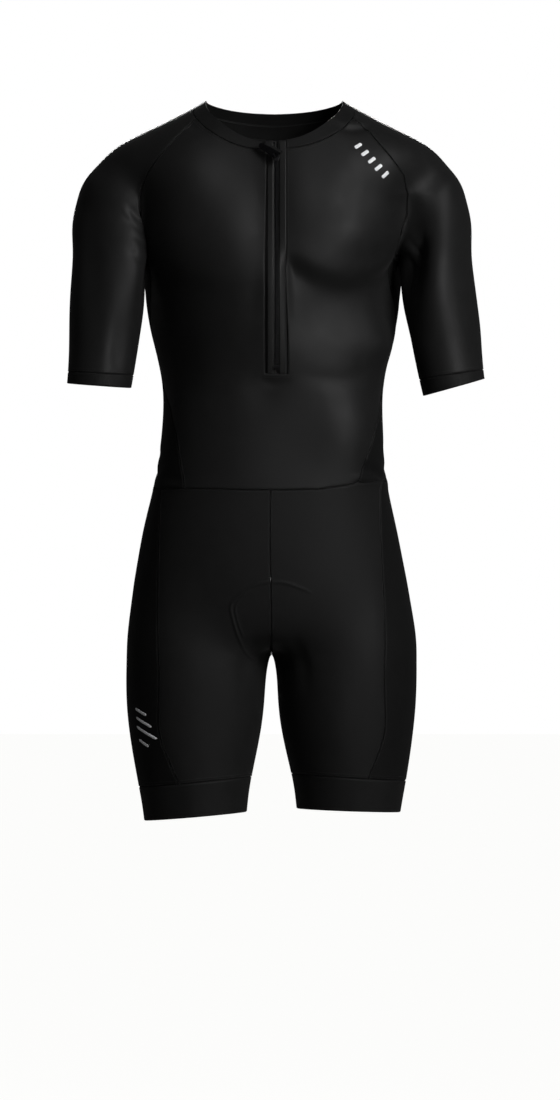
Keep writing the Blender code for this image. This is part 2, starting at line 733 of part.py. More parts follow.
# ---------------------------------------------------------------- seat pad
# Rows of the pad from its front edge, under the crotch, to its back edge: the panel that it lies on,
# the steps from the crotch point up the centre seam, half of its width along the cloth, and its
# clearance behind the cloth, which is larger where the shell is a tight saddle.
PAD_ROWS = [
    ("front", 7, 0.032, 0.0006),
    ("front", 6, 0.050, 0.0006),
    ("front", 5, 0.053, 0.0006),
    ("front", 4, 0.050, 0.0010),
    ("front", 3, 0.046, 0.0018),
    ("front", 2, 0.042, 0.0028),
    ("front", 1, 0.038, 0.0042),
    ("crotch", 0, 0.036, 0.0050),
    ("back", 1, 0.040, 0.0042),
    ("back", 2, 0.046, 0.0024),
    ("back", 3, 0.054, 0.0012),
    ("back", 4, 0.062, 0.0008),
    ("back", 5, 0.066, 0.0006),
    ("back", 6, 0.064, 0.0006),
    ("back", 7, 0.052, 0.0006),
]
PAD_COLUMNS = 4  # of half of the pad
PAD_EDGE, PAD_MIDDLE = 0.0020, 0.0070  # thickness at its edge and along its middle
PAD_ACROSS, PAD_ALONG = 2.5, 6  # powers: the higher, the flatter its middle and the steeper its edge


def pad_rows(panels):
    """The pad's grid, made from points of the shorts' rows.  panels: side to panel name to rows."""
    rows = []
    for name, steps, half_width, _ in PAD_ROWS:
        halves = []
        for side in (-1, 1):
            if name == "crotch":
                line = panels[side]["front"][SEAT_ROW:, 0]
            else:
                line = panels[side][name][SEAT_ROW - steps]
            halves.append(at_lengths(line, np.linspace(0, half_width, PAD_COLUMNS + 1)))
        rows.append(np.concatenate([halves[0][::-1], halves[1][1:]]))
    return np.array(rows)


def pad_form(points):
    """The field of whichever leg a point is on."""
    return np.where(points[..., 0] >= 0, leg_form(1)(points), leg_form(-1)(points))


def pad_thickness():
    across = 1 - np.abs(np.linspace(-1, 1, 2 * PAD_COLUMNS + 1)) ** PAD_ACROSS
    along = 1 - np.abs(np.linspace(-1, 1, len(PAD_ROWS))) ** PAD_ALONG
    return PAD_EDGE + (PAD_MIDDLE - PAD_EDGE) * np.outer(along, across)


# ---------------------------------------------------------------- walls
def grid_cells(rows, columns, closed_rows=0, hole=None):
    """Corner numbers of a grid's cells; in its first closed_rows the last column is the first."""
    number = np.arange(rows * columns).reshape(rows, columns)
    number[:closed_rows, -1] = number[:closed_rows, 0]
    cells = []
    for r in range(rows - 1):
        for c in range(columns - 1):
            if hole and r >= hole[0] and hole[1] <= c < hole[2]:
                continue
            cells.append((number[r, c], number[r, c + 1], number[r + 1, c + 1], number[r + 1, c]))
    return cells


def halved(cells, points):
    """Each cell as two triangles, cut along its shorter diagonal."""
    triangles = []
    for a, b, c, d in cells:
        if np.linalg.norm(points[a] - points[c]) <= np.linalg.norm(points[b] - points[d]):
            triangles += [(a, b, c), (a, c, d)]
        else:
            triangles += [(a, b, d), (b, c, d)]
    return triangles


def border_edges(triangles):
    edges = {(t[i], t[(i + 1) % 3]) for t in triangles for i in range(3)}
    return [edge for edge in edges if edge[::-1] not in edges]


def drawn_in(points, normals, edges, distance):
    """The points with those of the border moved into the piece, square to the border."""
    inward = {}
    for a, b in edges:
        way = unit(np.cross(normals[a] + normals[b], points[b] - points[a]))
        inward.setdefault(a, []).append(way)
        inward.setdefault(b, []).append(way)
    moved = points.copy()
    for corner, ways in inward.items():
        ways = ways[:2]
        mitre = sum(ways) / max(0.5, 1 + ways[0].dot(ways[-1]))
        moved[corner] = points[corner] + distance * mitre
    return moved


def rim(a, b, far, first_lower):
    """A border edge's rim, cut the same way by the walls on both sides of a seam."""
    if first_lower:
        return [[b, a, b + far], [a, a + far, b + far]]
    return [[b, a, a + far], [b, a + far, b + far]]


def leaned(points):
    moved = points.copy()
    moved[:, 0] += LEAN(points[:, 2])
    return moved


def wall(name, material, rows, form, thickness=CLOTH, lift=0.0, closed_rows=0, hole=None):
    """A closed wall: its outer skin on the figure, or lifted off it, and its inner skin behind."""
    count_r, count_c = rows.shape[:2]
    points = rows.reshape(-1, 3)
    normals = unit(slope_of(form, points))
    on_middle = np.abs(points[:, 0]) < 1e-5
    normals[on_middle] = unit(normals[on_middle] * (0, 1, 1))
    cells = grid_cells(count_r, count_c, closed_rows, hole)
    a, b, c, d = (points[[cell[i] for cell in cells]] for i in range(4))
    facing = (np.cross(c - a, d - b) * normals[[cell[0] for cell in cells]]).sum()
    if facing < 0:
        cells = [cell[::-1] for cell in cells]
    triangles = halved(cells, points)
    edges = border_edges(triangles)
    points = drawn_in(points, normals, edges, SEAM_GAP / 2)
    thickness = np.broadcast_to(thickness, (count_r, count_c)).reshape(-1, 1)
    lift = np.broadcast_to(lift, (count_r, count_c)).reshape(-1, 1)
    used = sorted({corner for triangle in triangles for corner in triangle})
    place = {corner: i for i, corner in enumerate(used)}
    outer, inner = points + normals * lift, points + normals * (lift - thickness)
    skins = leaned(np.concatenate([outer[used], inner[used]]))
    far = len(used)
    faces = [[place[i] for i in t] for t in triangles]
    faces += [[place[i] + far for i in reversed(t)] for t in triangles]
    corners = rows.reshape(-1, 3)
    for a, b in edges:
        faces += rim(place[a], place[b], far, tuple(corners[a]) < tuple(corners[b]))
    return add_mesh(name, material, skins, faces)


# ---------------------------------------------------------------- materials and objects
SUIT_KNIT = ("suit_knit", (0.010, 0.010, 0.011), 0.48, 0.0)
SIDE_KNIT = ("side_knit", (0.007, 0.007, 0.008), 0.60, 0.0)
SHORTS_KNIT = ("shorts_knit", (0.009, 0.009, 0.010), 0.55, 0.0)
BAND_KNIT = ("band_knit", (0.008, 0.008, 0.009), 0.50, 0.0)
PAD_FOAM = ("pad_foam", (0.030, 0.030, 0.034), 0.85, 0.0)
ZIP_TAPE = ("zip_tape", (0.008, 0.008, 0.009), 0.80, 0.0)
ZIP_NYLON = ("zip_nylon", (0.006, 0.006, 0.007), 0.35, 0.0)
ZIP_METAL = ("zip_metal", (0.012, 0.012, 0.013), 0.35, 0.8)
PULL_RUBBER = ("pull_rubber", (0.004, 0.004, 0.005), 0.45, 0.0)


def material_of(settings):
    name, colour, roughness, metallic = settings
    material = bpy.data.materials.get(name)
    if material is None:
        material = bpy.data.materials.new(name)
        material.use_nodes = True
        shader = material.node_tree.nodes["Principled BSDF"]
        shader.inputs["Base Color"].default_value = (*colour, 1.0)
        shader.inputs["Roughness"].default_value = roughness
        shader.inputs["Metallic"].default_value = metallic
    return material


def collection_of(name):
    collection = bpy.data.collections.get(name)
    if collection is None:
        collection = bpy.data.collections.new(name)
        bpy.context.scene.collection.children.link(collection)
    return collection


def add_mesh(name, material, points, faces, collection="triathlon_suit"):
    mesh = bpy.data.meshes.new(name)
    mesh.from_pydata([tuple(p) for p in points], [], faces)
    mesh.materials.append(material_of(material))
    mesh.shade_smooth()
    mesh.set_sharp_from_angle(angle=math.radians(50))
    obj = bpy.data.objects.new(name, mesh)
    collection_of(collection).objects.link(obj)
    return obj


def extruded(name, material, outline, thickness, collection="triathlon_suit"):
    """A flat outline, counter-clockwise in X and Y, made a plate about the plane z = 0."""
    count = len(outline)
    points = [(x, y, z) for z in (-thickness / 2, thickness / 2) for x, y in outline]
    faces = [tuple(range(count - 1, -1, -1)), tuple(range(count, 2 * count))]
    faces += [(i, (i + 1) % count, (i + 1) % count + count, i + count) for i in range(count)]
    return add_mesh(name, material, points, faces, collection)


def arc(centre, radius, start, end, count):
    turns = np.radians(np.linspace(start, end, count + 1))
    return [(centre[0] + radius * math.cos(t), centre[1] + radius * math.sin(t)) for t in turns]


def rounded_box(name, material, size, bevel):
    bpy.ops.mesh.primitive_cube_add(size=1)
    obj = bpy.context.object
    obj.name = obj.data.name = name
    obj.data.transform(Matrix.Diagonal((*size, 1)))
    obj.data.materials.append(material_of(material))
    for collection in list(obj.users_collection):
        collection.objects.unlink(obj)
    collection_of("triathlon_suit").objects.link(obj)
    edges = obj.modifiers.new("edges", "BEVEL")
    edges.width, edges.segments = bevel, 2
    return obj


# ---------------------------------------------------------------- zip
TAPE_THICKNESS = 0.0010
TAPE_WIDTH = 0.0150  # from the middle of the zip
CHAIN_HALF_WIDTH = 0.0022
CHAIN_THICKNESS = 0.0026
CHAIN_SUNK = 0.0003  # the chain's face is this far behind the cloth's
TAPE_TAIL = 0.25  # of a row of the front panel, below the slot
CHAIN_FOOT = 0.15  # of a row of the front panel, above the slot's foot
STOP_HEIGHT = -0.3350
STOP_SIZE = (0.0066, 0.0032, 0.0014)
SLIDER_HEIGHT = -0.0755
SLIDER_SIZE = (0.0076, 0.0104, 0.0015)
BRIDGE_OFFSET = -0.0020  # of the bridge from the middle of the slider, towards the wearer's right
BRIDGE_INNER, BRIDGE_OUTER, BRIDGE_WIDTH = 0.00155, 0.00250, 0.0012
BRIDGE_ROOT = 0.0006  # the bridge's feet are sunk this far into the slider
BRIDGE_INNER_STEPS, BRIDGE_OUTER_STEPS = 10, 14
METAL_EDGE = 0.0004  # bevel of the slider and the stop
HINGE_LIFT = 0.0015  # of the pull's axis above the slider's face
PULL_THICKNESS = 0.0016
PULL_EYE = 0.0048  # radius of the pull round its eye
PULL_HOLE = 0.0019
PULL_RIM = 0.0018  # width of the rim under the bridge
PULL_END = 0.0034  # radius of the pull's far end
PULL_LENGTH = 0.0200  # between the centres of the eye and of the far end
PULL_SKEW = 145.0  # direction of the pull, in degrees from the wearer's left
PULL_END_STEPS, PULL_EYE_STEPS, PULL_HOLE_STEPS = 12, 20, 18
PULL_WELD = 0.00001  # joins the pull's faces to its sides
GARAGE_LINE = [(-0.0112, -0.0562), (0.0050, -0.0662), (0.0112, -0.0675)]
GARAGE_WIDTH = 0.0042
GARAGE_THICKNESS = 0.0010
GARAGE_ROWS, GARAGE_COLUMNS = 6, 2


def zip_grid(side, front, band):
    """Points of the front panel beside the zip, from its foot up to the middle of the neck band: at
    the zip's middle, at the slot's edge and at the next column."""
    middle = FRONT_COLUMNS + 1
    columns = [middle, middle + side, middle + 2 * side]
    rows = [row[columns] for row in front[ZIP_BOTTOM_ROW - 1 :]]
    end, following = (band[1][0], band[1][1]) if side > 0 else (band[1][-1], band[1][-2])
    rows.append(np.array([from_outside(upper_form, ZIP_MIDDLE, end[2], -1), end, following]))
    return np.array(rows)


def between(a, b, share):
    return a + (b - a) * share


def add_tapes(front, band):
    for side in (1, -1):
        grid = zip_grid(side, front, band)
        grid[0] = between(grid[1], grid[0], TAPE_TAIL)
        near = between(grid[:, 0], grid[:, 1], (CHAIN_HALF_WIDTH + SEAM_GAP) / ZIP_HALF_OPENING)
        reach = (TAPE_WIDTH - ZIP_HALF_OPENING) / np.abs(grid[:, 2, 0] - grid[:, 1, 0])[:, None]
        rows = np.stack([near, grid[:, 1], between(grid[:, 1], grid[:, 2], reach)], axis=1)
        lift = -CLOTH - SEAM_GAP
        wall("zip_tape_" + SIDE_NAME[side], ZIP_TAPE, rows, upper_form, TAPE_THICKNESS, lift)


def add_chain(front, band):
    left, right = (zip_grid(side, front, band)[1:] for side in (1, -1))
    share = CHAIN_HALF_WIDTH / ZIP_HALF_OPENING
    rows = [between(right[:, 0], right[:, 1], share), left[:, 0], between(left[:, 0], left[:, 1], share)]
    rows = np.stack(rows, axis=1)
    rows[0] = between(rows[0], rows[1], CHAIN_FOOT)
    wall("zip_chain", ZIP_NYLON, rows, upper_form, CHAIN_THICKNESS, -CHAIN_SUNK)


def add_garage():
    ends = np.array([(x, 0, z) for x, z in GARAGE_LINE])
    path, knots = path_through(ends)
    middle = path(np.linspace(0, knots[-1], GARAGE_ROWS + 1))
    along = unit(np.gradient(middle, axis=0))
    across = np.stack([-along[:, 2], along[:, 1], along[:, 0]], -1)
    shares = np.linspace(-0.5, 0.5, GARAGE_COLUMNS + 1)[None, :, None] * GARAGE_WIDTH
    flat = middle[:, None, :] + across[:, None, :] * shares
    rows = from_outside(upper_form, flat[..., 0], flat[..., 2], -1)
    wall("zip_garage", BAND_KNIT, rows, upper_form, GARAGE_THICKNESS, GARAGE_THICKNESS + SEAM_GAP)


def place_on_front(z):
    """Frame on the front at the zip: X to the wearer's left, Y up along the cloth, Z outwards."""
    point = from_outside(upper_form, ZIP_MIDDLE, z, -1)
    outward = unit(slope_of(upper_form, point))
    point = leaned(point[None])[0]
    sideways = unit(np.cross((0, 0, 1), outward))
    upward = np.cross(outward, sideways)
    matrix = Matrix([[*row, 0] for row in np.stack([sideways, upward, outward], -1)] + [[0, 0, 0, 1]])
    return Matrix.Translation(Vector(point)) @ matrix


def add_stop():
    stop = rounded_box("zip_stop", ZIP_METAL, STOP_SIZE, METAL_EDGE)
    stop.matrix_world = place_on_front(STOP_HEIGHT) @ Matrix.Translation((0, 0, STOP_SIZE[2] / 2))


def add_slider():
    """The slider's face plate with its bridge, a half ring that stands along the zip."""
    place = place_on_front(SLIDER_HEIGHT)
    slider = rounded_box("zip_slider", ZIP_METAL, SLIDER_SIZE, METAL_EDGE)
    slider.matrix_world = place @ Matrix.Translation((0, 0, SLIDER_SIZE[2] / 2))
    foot = -HINGE_LIFT - BRIDGE_ROOT
    outline = [(BRIDGE_OUTER, foot)] + arc((0, 0), BRIDGE_OUTER, 0, 180, BRIDGE_OUTER_STEPS)
    outline += [(-BRIDGE_OUTER, foot), (-BRIDGE_INNER, foot)]
    outline += arc((0, 0), BRIDGE_INNER, 180, 0, BRIDGE_INNER_STEPS) + [(BRIDGE_INNER, foot)]
    bridge = extruded("slider_bridge", ZIP_METAL, outline, BRIDGE_WIDTH, "cutters")
    along_zip = Matrix.Rotation(math.pi / 2, 4, "X") @ Matrix.Rotation(math.pi / 2, 4, "Y")
    bridge.matrix_world = hinge_place() @ along_zip
    bridge.hide_render, bridge.display_type = True, "WIRE"
    union = slider.modifiers.new("bridge", "BOOLEAN")
    union.operation, union.object, union.solver = "UNION", bridge, "EXACT"


def hinge_place():
    """Frame of the pull's hinge: its axis is X, across the zip."""
    lift = SLIDER_SIZE[2] + HINGE_LIFT
    return place_on_front(SLIDER_HEIGHT) @ Matrix.Translation((BRIDGE_OFFSET, 0, lift))


def add_pull():
    """A flat pull with an eye, whose rim lies under the bridge."""
    eye = Vector((0, PULL_EYE - PULL_RIM / 2))
    skew = math.radians(PULL_SKEW)
    end = eye + PULL_LENGTH * Vector((math.cos(skew), math.sin(skew)))
    taper = math.degrees(math.acos((PULL_EYE - PULL_END) / PULL_LENGTH))
    outline = arc(end, PULL_END, PULL_SKEW - taper, PULL_SKEW + taper, PULL_END_STEPS)
    outline += arc(eye, PULL_EYE, PULL_SKEW + taper, PULL_SKEW + 360 - taper, PULL_EYE_STEPS)
    hole_centre = eye - Vector((0, PULL_EYE - PULL_HOLE - PULL_RIM))
    curve = bpy.data.curves.new("zip_pull", "CURVE")
    curve.dimensions, curve.fill_mode, curve.extrude = "2D", "BOTH", PULL_THICKNESS / 2
    for points in (outline, arc(hole_centre, PULL_HOLE, 0, 360, PULL_HOLE_STEPS)[:-1]):
        spline = curve.splines.new("POLY")
        spline.points.add(len(points) - 1)
        for point, (x, y) in zip(spline.points, points):
            point.co = (x, y, 0, 1)
        spline.use_cyclic_u = True
    curve.materials.append(material_of(PULL_RUBBER))
    pull = bpy.data.objects.new("zip_pull", curve)
    collection_of("triathlon_suit").objects.link(pull)
    pull.matrix_world = hinge_place()
    weld = pull.modifiers.new("caps", "WELD")
    weld.merge_threshold = PULL_WELD


# ---------------------------------------------------------------- the suit
def add_top(front_half, back_half):
    """The top's panels.  Returns the waist seam's points and the armhole halves' neck ends."""
    fronts = {s: torso_border(s, front_half[s], "front") for s in (1, -1)}
    backs = {s: torso_border(s, back_half[s], "back") for s in (1, -1)}
    front = front_rows(fronts[1], fronts[-1])
    back = back_rows(backs[1], backs[-1])
    slot = (ZIP_BOTTOM_ROW, FRONT_COLUMNS, FRONT_COLUMNS + 2)
    wall("front_panel", SUIT_KNIT, front, upper_form, hole=slot)
    wall("back_panel", SUIT_KNIT, back, upper_form)
    sides, necks = {}, {}
    for side in (1, -1):
        lower = slice(0, UNDERARM_ROWS + 1)
        top = np.concatenate([front_half[side][lower][::-1], back_half[side][lower][1:]])
        sides[side] = side_rows(side, fronts[side], backs[side], top)
        wall("side_panel_" + SIDE_NAME[side], SIDE_KNIT, sides[side], upper_form)
        sleeve = sleeve_rows(side, front_half[side], back_half[side])
        wall("sleeve_" + SIDE_NAME[side], SUIT_KNIT, sleeve, upper_form, closed_rows=TUBE_ROWS + 1)
        cuff = cuff_rows(side, sleeve[0], front_half[side][0])
        wall("cuff_" + SIDE_NAME[side], BAND_KNIT, cuff, upper_form, closed_rows=2)
        necks[side] = sleeve[-1]
    seam = [front[-1][FRONT_COLUMNS + 2 :], necks[1][1:], back[-1][1:], necks[-1][::-1][1:]]
    seam.append(front[-1][: FRONT_COLUMNS + 1][1:])
    band = neck_rows(np.concatenate(seam))
    wall("neck_band", BAND_KNIT, band, upper_form)
    add_tapes(front, band)
    add_chain(front, band)
    return front[0], back[0], {side: rows[0] for side, rows in sides.items()}


def add_shorts(front, back, sides):
    """The shorts' panels hang from the points of the waist seam."""
    centre, panels = FRONT_COLUMNS + 1, {}
    halves = {1: (front[centre:], back[: BACK_COLUMNS // 2 + 1]),
              -1: (front[: centre + 1][::-1], back[BACK_COLUMNS // 2 :][::-1])}
    for side, (front_half, back_half) in halves.items():
        form, ring = leg_form(side), sides[side]
        stretches = {
            "front": np.concatenate([front_half, ring[1 : LEG_SIDE_START + 1]]),
            "side": ring[LEG_SIDE_START : LEG_SIDE_END + 1],
            "back": np.concatenate([back_half[::-1], ring[LEG_SIDE_END:-1][::-1]]),
        }
        seam, panels[side] = [], {}
        for panel, waist in stretches.items():
            rows = panels[side][panel] = leg_rows(side, panel, waist, len(waist) - 1)
            material = SIDE_KNIT if panel == "side" else SHORTS_KNIT
            wall("leg_" + panel + "_" + SIDE_NAME[side], material, rows, form)
            seam.append(rows[-1][::-1] if panel == "back" else rows[-1])
        ring = np.concatenate([seam[0], seam[1][1:], seam[2][1:]])
        hem = hem_rows(side, ring)
        wall("leg_hem_" + SIDE_NAME[side], BAND_KNIT, hem, form, closed_rows=3)
    behind = -CLOTH - np.array([[gap] for _, _, _, gap in PAD_ROWS])
    wall("seat_pad", PAD_FOAM, pad_rows(panels), pad_form, pad_thickness(), lift=behind)


def build():
    for obj in list(bpy.data.objects):
        bpy.data.objects.remove(obj, do_unlink=True)
    front_half, back_half = {}, {}
    for side in (1, -1):
        front_half[side], back_half[side] = armhole(side)
    add_shorts(*add_top(front_half, back_half))
    add_garage()
    add_stop()
    add_slider()
    add_pull()


build()
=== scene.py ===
import json
import math
import bpy
import bmesh
import numpy as np
from mathutils import Matrix, Vector
from mathutils.bvhtree import BVHTree
from mathutils.kdtree import KDTree


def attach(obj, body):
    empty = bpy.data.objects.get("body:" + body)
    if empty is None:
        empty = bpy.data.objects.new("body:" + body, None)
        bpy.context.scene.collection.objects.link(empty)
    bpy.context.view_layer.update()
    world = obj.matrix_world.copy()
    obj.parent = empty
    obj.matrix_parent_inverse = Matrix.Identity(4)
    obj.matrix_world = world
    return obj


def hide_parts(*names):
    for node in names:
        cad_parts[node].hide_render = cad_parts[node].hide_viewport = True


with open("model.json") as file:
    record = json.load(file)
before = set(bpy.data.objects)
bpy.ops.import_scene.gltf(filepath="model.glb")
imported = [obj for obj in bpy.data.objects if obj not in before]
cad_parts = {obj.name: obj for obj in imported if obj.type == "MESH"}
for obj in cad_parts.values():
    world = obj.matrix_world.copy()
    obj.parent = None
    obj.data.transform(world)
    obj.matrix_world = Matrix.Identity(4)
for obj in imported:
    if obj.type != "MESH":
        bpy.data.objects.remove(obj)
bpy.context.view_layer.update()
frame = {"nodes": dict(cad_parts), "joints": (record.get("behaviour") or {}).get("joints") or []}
nodes = frame["nodes"]
millimetre = 0.001
onePoint = 1e-5  # corners closer than this are one


def srgb(code):
    values = [int(code[i:i + 2], 16) / 255 for i in (0, 2, 4)]
    linear = [v / 12.92 if v <= 0.04045 else ((v + 0.055) / 1.055) ** 2.4 for v in values]
    return (*linear, 1.0)


def newMaterial(name):
    material = bpy.data.materials.new(name)
    material.use_nodes = True
    tree = material.node_tree
    return material, tree, tree.nodes["Principled BSDF"]


def setInputs(tree, node, inputs):
    for key, value in inputs.items():
        if isinstance(value, bpy.types.NodeSocket):
            tree.links.new(value, node.inputs[key])
        else:
            node.inputs[key].default_value = value


def addNode(tree, kind, inputs, **settings):
    node = tree.nodes.new(kind)
    for key, value in settings.items():
        setattr(node, key, value)
    setInputs(tree, node, inputs)
    return node


def placed(name, data):
    thing = bpy.data.objects.new(name, data)
    bpy.context.scene.collection.objects.link(thing)
    return thing


def smoothObject(name, mesh, material):
    mesh.materials.append(material)
    mesh.shade_smooth()
    return placed(name, mesh)


def meshObject(name, points, faces, material):
    mesh = bpy.data.meshes.new(name)
    mesh.from_pydata([tuple(p) for p in points], [], [tuple(f) for f in faces])
    return smoothObject(name, mesh, material)


def asMesh(name, built):
    mesh = bpy.data.meshes.new(name)
    built.to_mesh(mesh)
    built.free()
    return mesh


def applied(piece):
    # the modifiers' result becomes the piece's own mesh
    piece.data = bpy.data.meshes.new_from_object(piece.evaluated_get(bpy.context.evaluated_depsgraph_get()))
    piece.modifiers.clear()
    return piece


def unit(vectors):
    return vectors / np.maximum(np.linalg.norm(vectors, axis=-1, keepdims=True), 1e-12)


# materials
# width and height of a loop in millimetres, its relief, and the spread of uneven stretch and dye
knit = {"wale": 0.55, "course": 0.42, "bump": 0.14, "depth": 0.0002, "mottle": 55.0, "shade": 0.16}
waveRepeat = 314.16  # millimetres between the bands of a wave texture at scale 1


def loopRows(tree, place, size, direction):
    # rows of loops across one axis, slightly uneven, their size given in millimetres
    uneven = {"Vector": place, "Scale": waveRepeat / size, "Distortion": 0.6, "Detail": 1.0, "Detail Scale": 8.0}
    return addNode(tree, "ShaderNodeTexWave", uneven, wave_type="BANDS", bands_direction=direction,
                   wave_profile="SIN").outputs["Fac"]


def acrossCloth(tree, coords, size):
    # upright columns run across X on the front and back, and across Y on the sides
    front = loopRows(tree, coords.outputs["Object"], size, "X")
    side = loopRows(tree, coords.outputs["Object"], size, "Y")
    parts = addNode(tree, "ShaderNodeSeparateXYZ", {0: coords.outputs["Normal"]})
    turned = addNode(tree, "ShaderNodeMath", {0: parts.outputs["X"]}, operation="ABSOLUTE")
    share = addNode(tree, "ShaderNodeMapRange", {"Value": turned.outputs[0], "From Min": 0.5, "From Max": 0.85})
    blend = addNode(tree, "ShaderNodeMix", {0: share.outputs["Result"], 2: front, 3: side}, data_type="FLOAT")
    return blend.outputs[0]


def unevenDye(tree, factor, colour, shade):
    darker, lighter = ((*[c * share for c in srgb(colour)[:3]], 1) for share in (1 - shade, 1 + shade))
    return addNode(tree, "ShaderNodeMix", {0: factor, 6: darker, 7: lighter}, data_type="RGBA").outputs[2]


def knitMaterial(name, colour, roughness, gloss, scale=1.0, ribs=0.0, holes=0.0):
    material, tree, shader = newMaterial(name)
    coords = addNode(tree, "ShaderNodeTexCoord", {})
    place = coords.outputs["Object"]
    wales = acrossCloth(tree, coords, knit["wale"] * scale)  # columns of knit loops
    courses = loopRows(tree, place, knit["course"] * scale, "Z")  # rows of knit loops
    loops = addNode(tree, "ShaderNodeMath", {0: wales, 1: courses}, operation="MULTIPLY")
    mottle = addNode(tree, "ShaderNodeTexNoise", {"Vector": place, "Scale": knit["mottle"], "Detail": 5.0,
                                                  "Roughness": 0.6})  # uneven stretch of the cloth
    tint = unevenDye(tree, mottle.outputs["Fac"], colour, knit["shade"])
    if holes:
        mesh = addNode(tree, "ShaderNodeTexVoronoi", {"Vector": place, "Scale": 1000 / holes},
                       feature="F1")  # small open cells of a mesh knit
        cells = addNode(tree, "ShaderNodeMapRange", {"Value": mesh.outputs["Distance"], "From Min": 0.15,
                                                     "From Max": 0.45})
        loops = addNode(tree, "ShaderNodeMath", {0: loops.outputs[0], 1: cells.outputs["Result"]}, operation="ADD")
    rough = addNode(tree, "ShaderNodeMapRange", {"Value": mottle.outputs["Fac"], "From Min": 0.3, "From Max": 0.7,
                                                 "To Min": roughness - 0.04, "To Max": roughness + 0.05})
    bump = addNode(tree, "ShaderNodeBump", {"Height": loops.outputs[0], "Strength": knit["bump"],
                                            "Distance": knit["depth"]})
    if ribs:
        bump = addNode(tree, "ShaderNodeBump", {"Height": acrossCloth(tree, coords, ribs), "Strength": 0.3,
                                                "Distance": 0.0003, "Normal": bump.outputs["Normal"]})  # rib knit
    setInputs(tree, shader, {"Base Color": tint, "Roughness": rough.outputs["Result"],
                             "Normal": bump.outputs["Normal"], "IOR": 1.5, "Specular IOR Level": gloss,
                             "Sheen Weight": 0.02, "Sheen Roughness": 0.45})
    return material


def plainMaterial(name, colour, roughness, metallic=0.0, grain=0.0, grainScale=900.0, shade=0.1, gloss=0.5):
    material, tree, shader = newMaterial(name)
    place = addNode(tree, "ShaderNodeTexCoord", {}).outputs["Object"]
    noise = addNode(tree, "ShaderNodeTexNoise", {"Vector": place, "Scale": grainScale, "Detail": 4.0})
    spread = addNode(tree, "ShaderNodeMapRange", {"Value": noise.outputs["Fac"], "To Min": roughness - 0.06,
                                                  "To Max": roughness + 0.08})
    setInputs(tree, shader, {"Base Color": unevenDye(tree, noise.outputs["Fac"], colour, shade),
                             "Roughness": spread.outputs["Result"], "Metallic": metallic,
                             "Specular IOR Level": gloss})
    if grain:
        bump = addNode(tree, "ShaderNodeBump", {"Height": noise.outputs["Fac"], "Strength": grain,
                                                "Distance": 0.0002})
        setInputs(tree, shader, {"Normal": bump.outputs["Normal"]})
    return material


materials = {
    "suit_knit": knitMaterial("satin_polyester_elastane_knit", "171717", 0.54, 0.16),  # soft gloss over the chest
    "side_knit": knitMaterial("open_mesh_knit", "111111", 0.62, 0.08, scale=1.4, holes=1.6),  # duller side panels
    "shorts_knit": knitMaterial("dense_compression_knit", "181818", 0.60, 0.09),  # flat, even black of the shorts
    "band_knit": knitMaterial("elastic_band_knit", "161616", 0.58, 0.10, ribs=0.9),  # fine ribs of the bands
    "pad_foam": knitMaterial("brushed_pad_cover", "3a3a40", 0.80, 0.20),  # dull nap of the pad's cover
    "zip_tape": knitMaterial("woven_zip_tape", "1b1b1b", 0.52, 0.15, scale=0.9),  # close grain of the tapes
    "thread": plainMaterial("polyester_sewing_thread", "121212", 0.50),  # slightly shinier than the knit
    "coil": plainMaterial("moulded_nylon_coil", "0e0e10", 0.42, gloss=0.25),  # small glints down the zip
    "metal": plainMaterial("black_enamelled_zinc", "121214", 0.36, metallic=0.4, gloss=0.4),  # the slider's glint
    "pull": plainMaterial("soft_black_rubber", "040405", 0.70, grain=0.15, gloss=0.04),  # dead black tab
    "film": plainMaterial("silver_reflective_film", "f0f1f4", 0.42, grain=0.1, grainScale=1500.0),  # pale, beaded
    "print": plainMaterial("pale_heat_transfer", "f2f3f5", 0.45, shade=0.03),  # flat pale ink
}

# the cloth's form comes from the outer skins of the solids
# piece: its knit, width and length of the cut piece's rectangle, and its own flat area, in metres
cutPieces = {
    "front_panel": ("suit_knit", 0.40, 0.50, 0.142), "back_panel": ("suit_knit", 0.37, 0.54, 0.124),
    "side_panel": ("side_knit", 0.11, 0.37, 0.0285), "sleeve": ("suit_knit", 0.38, 0.40, 0.086),
    "cuff_left": ("band_knit", 0.29, 0.0135, 0.0036), "cuff_right": ("band_knit", 0.29, 0.0135, 0.0035),
    "neck_band": ("band_knit", 0.46, 0.020, 0.0075), "leg_front": ("shorts_knit", 0.22, 0.37, 0.056),
    "leg_back": ("shorts_knit", 0.25, 0.40, 0.058), "leg_side": ("side_knit", 0.21, 0.37, 0.060),
    "leg_hem": ("band_knit", 0.43, 0.043, 0.0170),
}
paired = ("side_panel", "sleeve", "leg_front", "leg_back", "leg_side", "leg_hem")
cloths = {}
for name, row in cutPieces.items():
    cloths.update({name + side: row for side in (("_left", "_right") if name in paired else ("",))})
names = list(cloths)
slotNumber = len(names)  # the faces that close the front's slot, where the zip is
# wall of the solids, the gap that a seam closes, steps of subdivision and of smoothing, a point well inside the body
form = {"wall": 0.0015, "weld": 0.0009, "levels": 3, "relax": 6, "inside": (0, 0, -0.4)}
zipSlot = {"middle": 0.0045, "half": 0.0130, "foot": -0.345, "footHalf": 0.004, "rise": 0.0004}


def welded(data):
    mesh = bmesh.new()
    mesh.from_mesh(data)
    bmesh.ops.remove_doubles(mesh, verts=mesh.verts, dist=onePoint)
    return mesh


def squared(mesh):
    # pairs of triangles back into four-sided faces
    bmesh.ops.join_triangles(mesh, faces=mesh.faces, angle_face_threshold=math.pi, angle_shape_threshold=math.pi,
                             topology_influence=1.0)


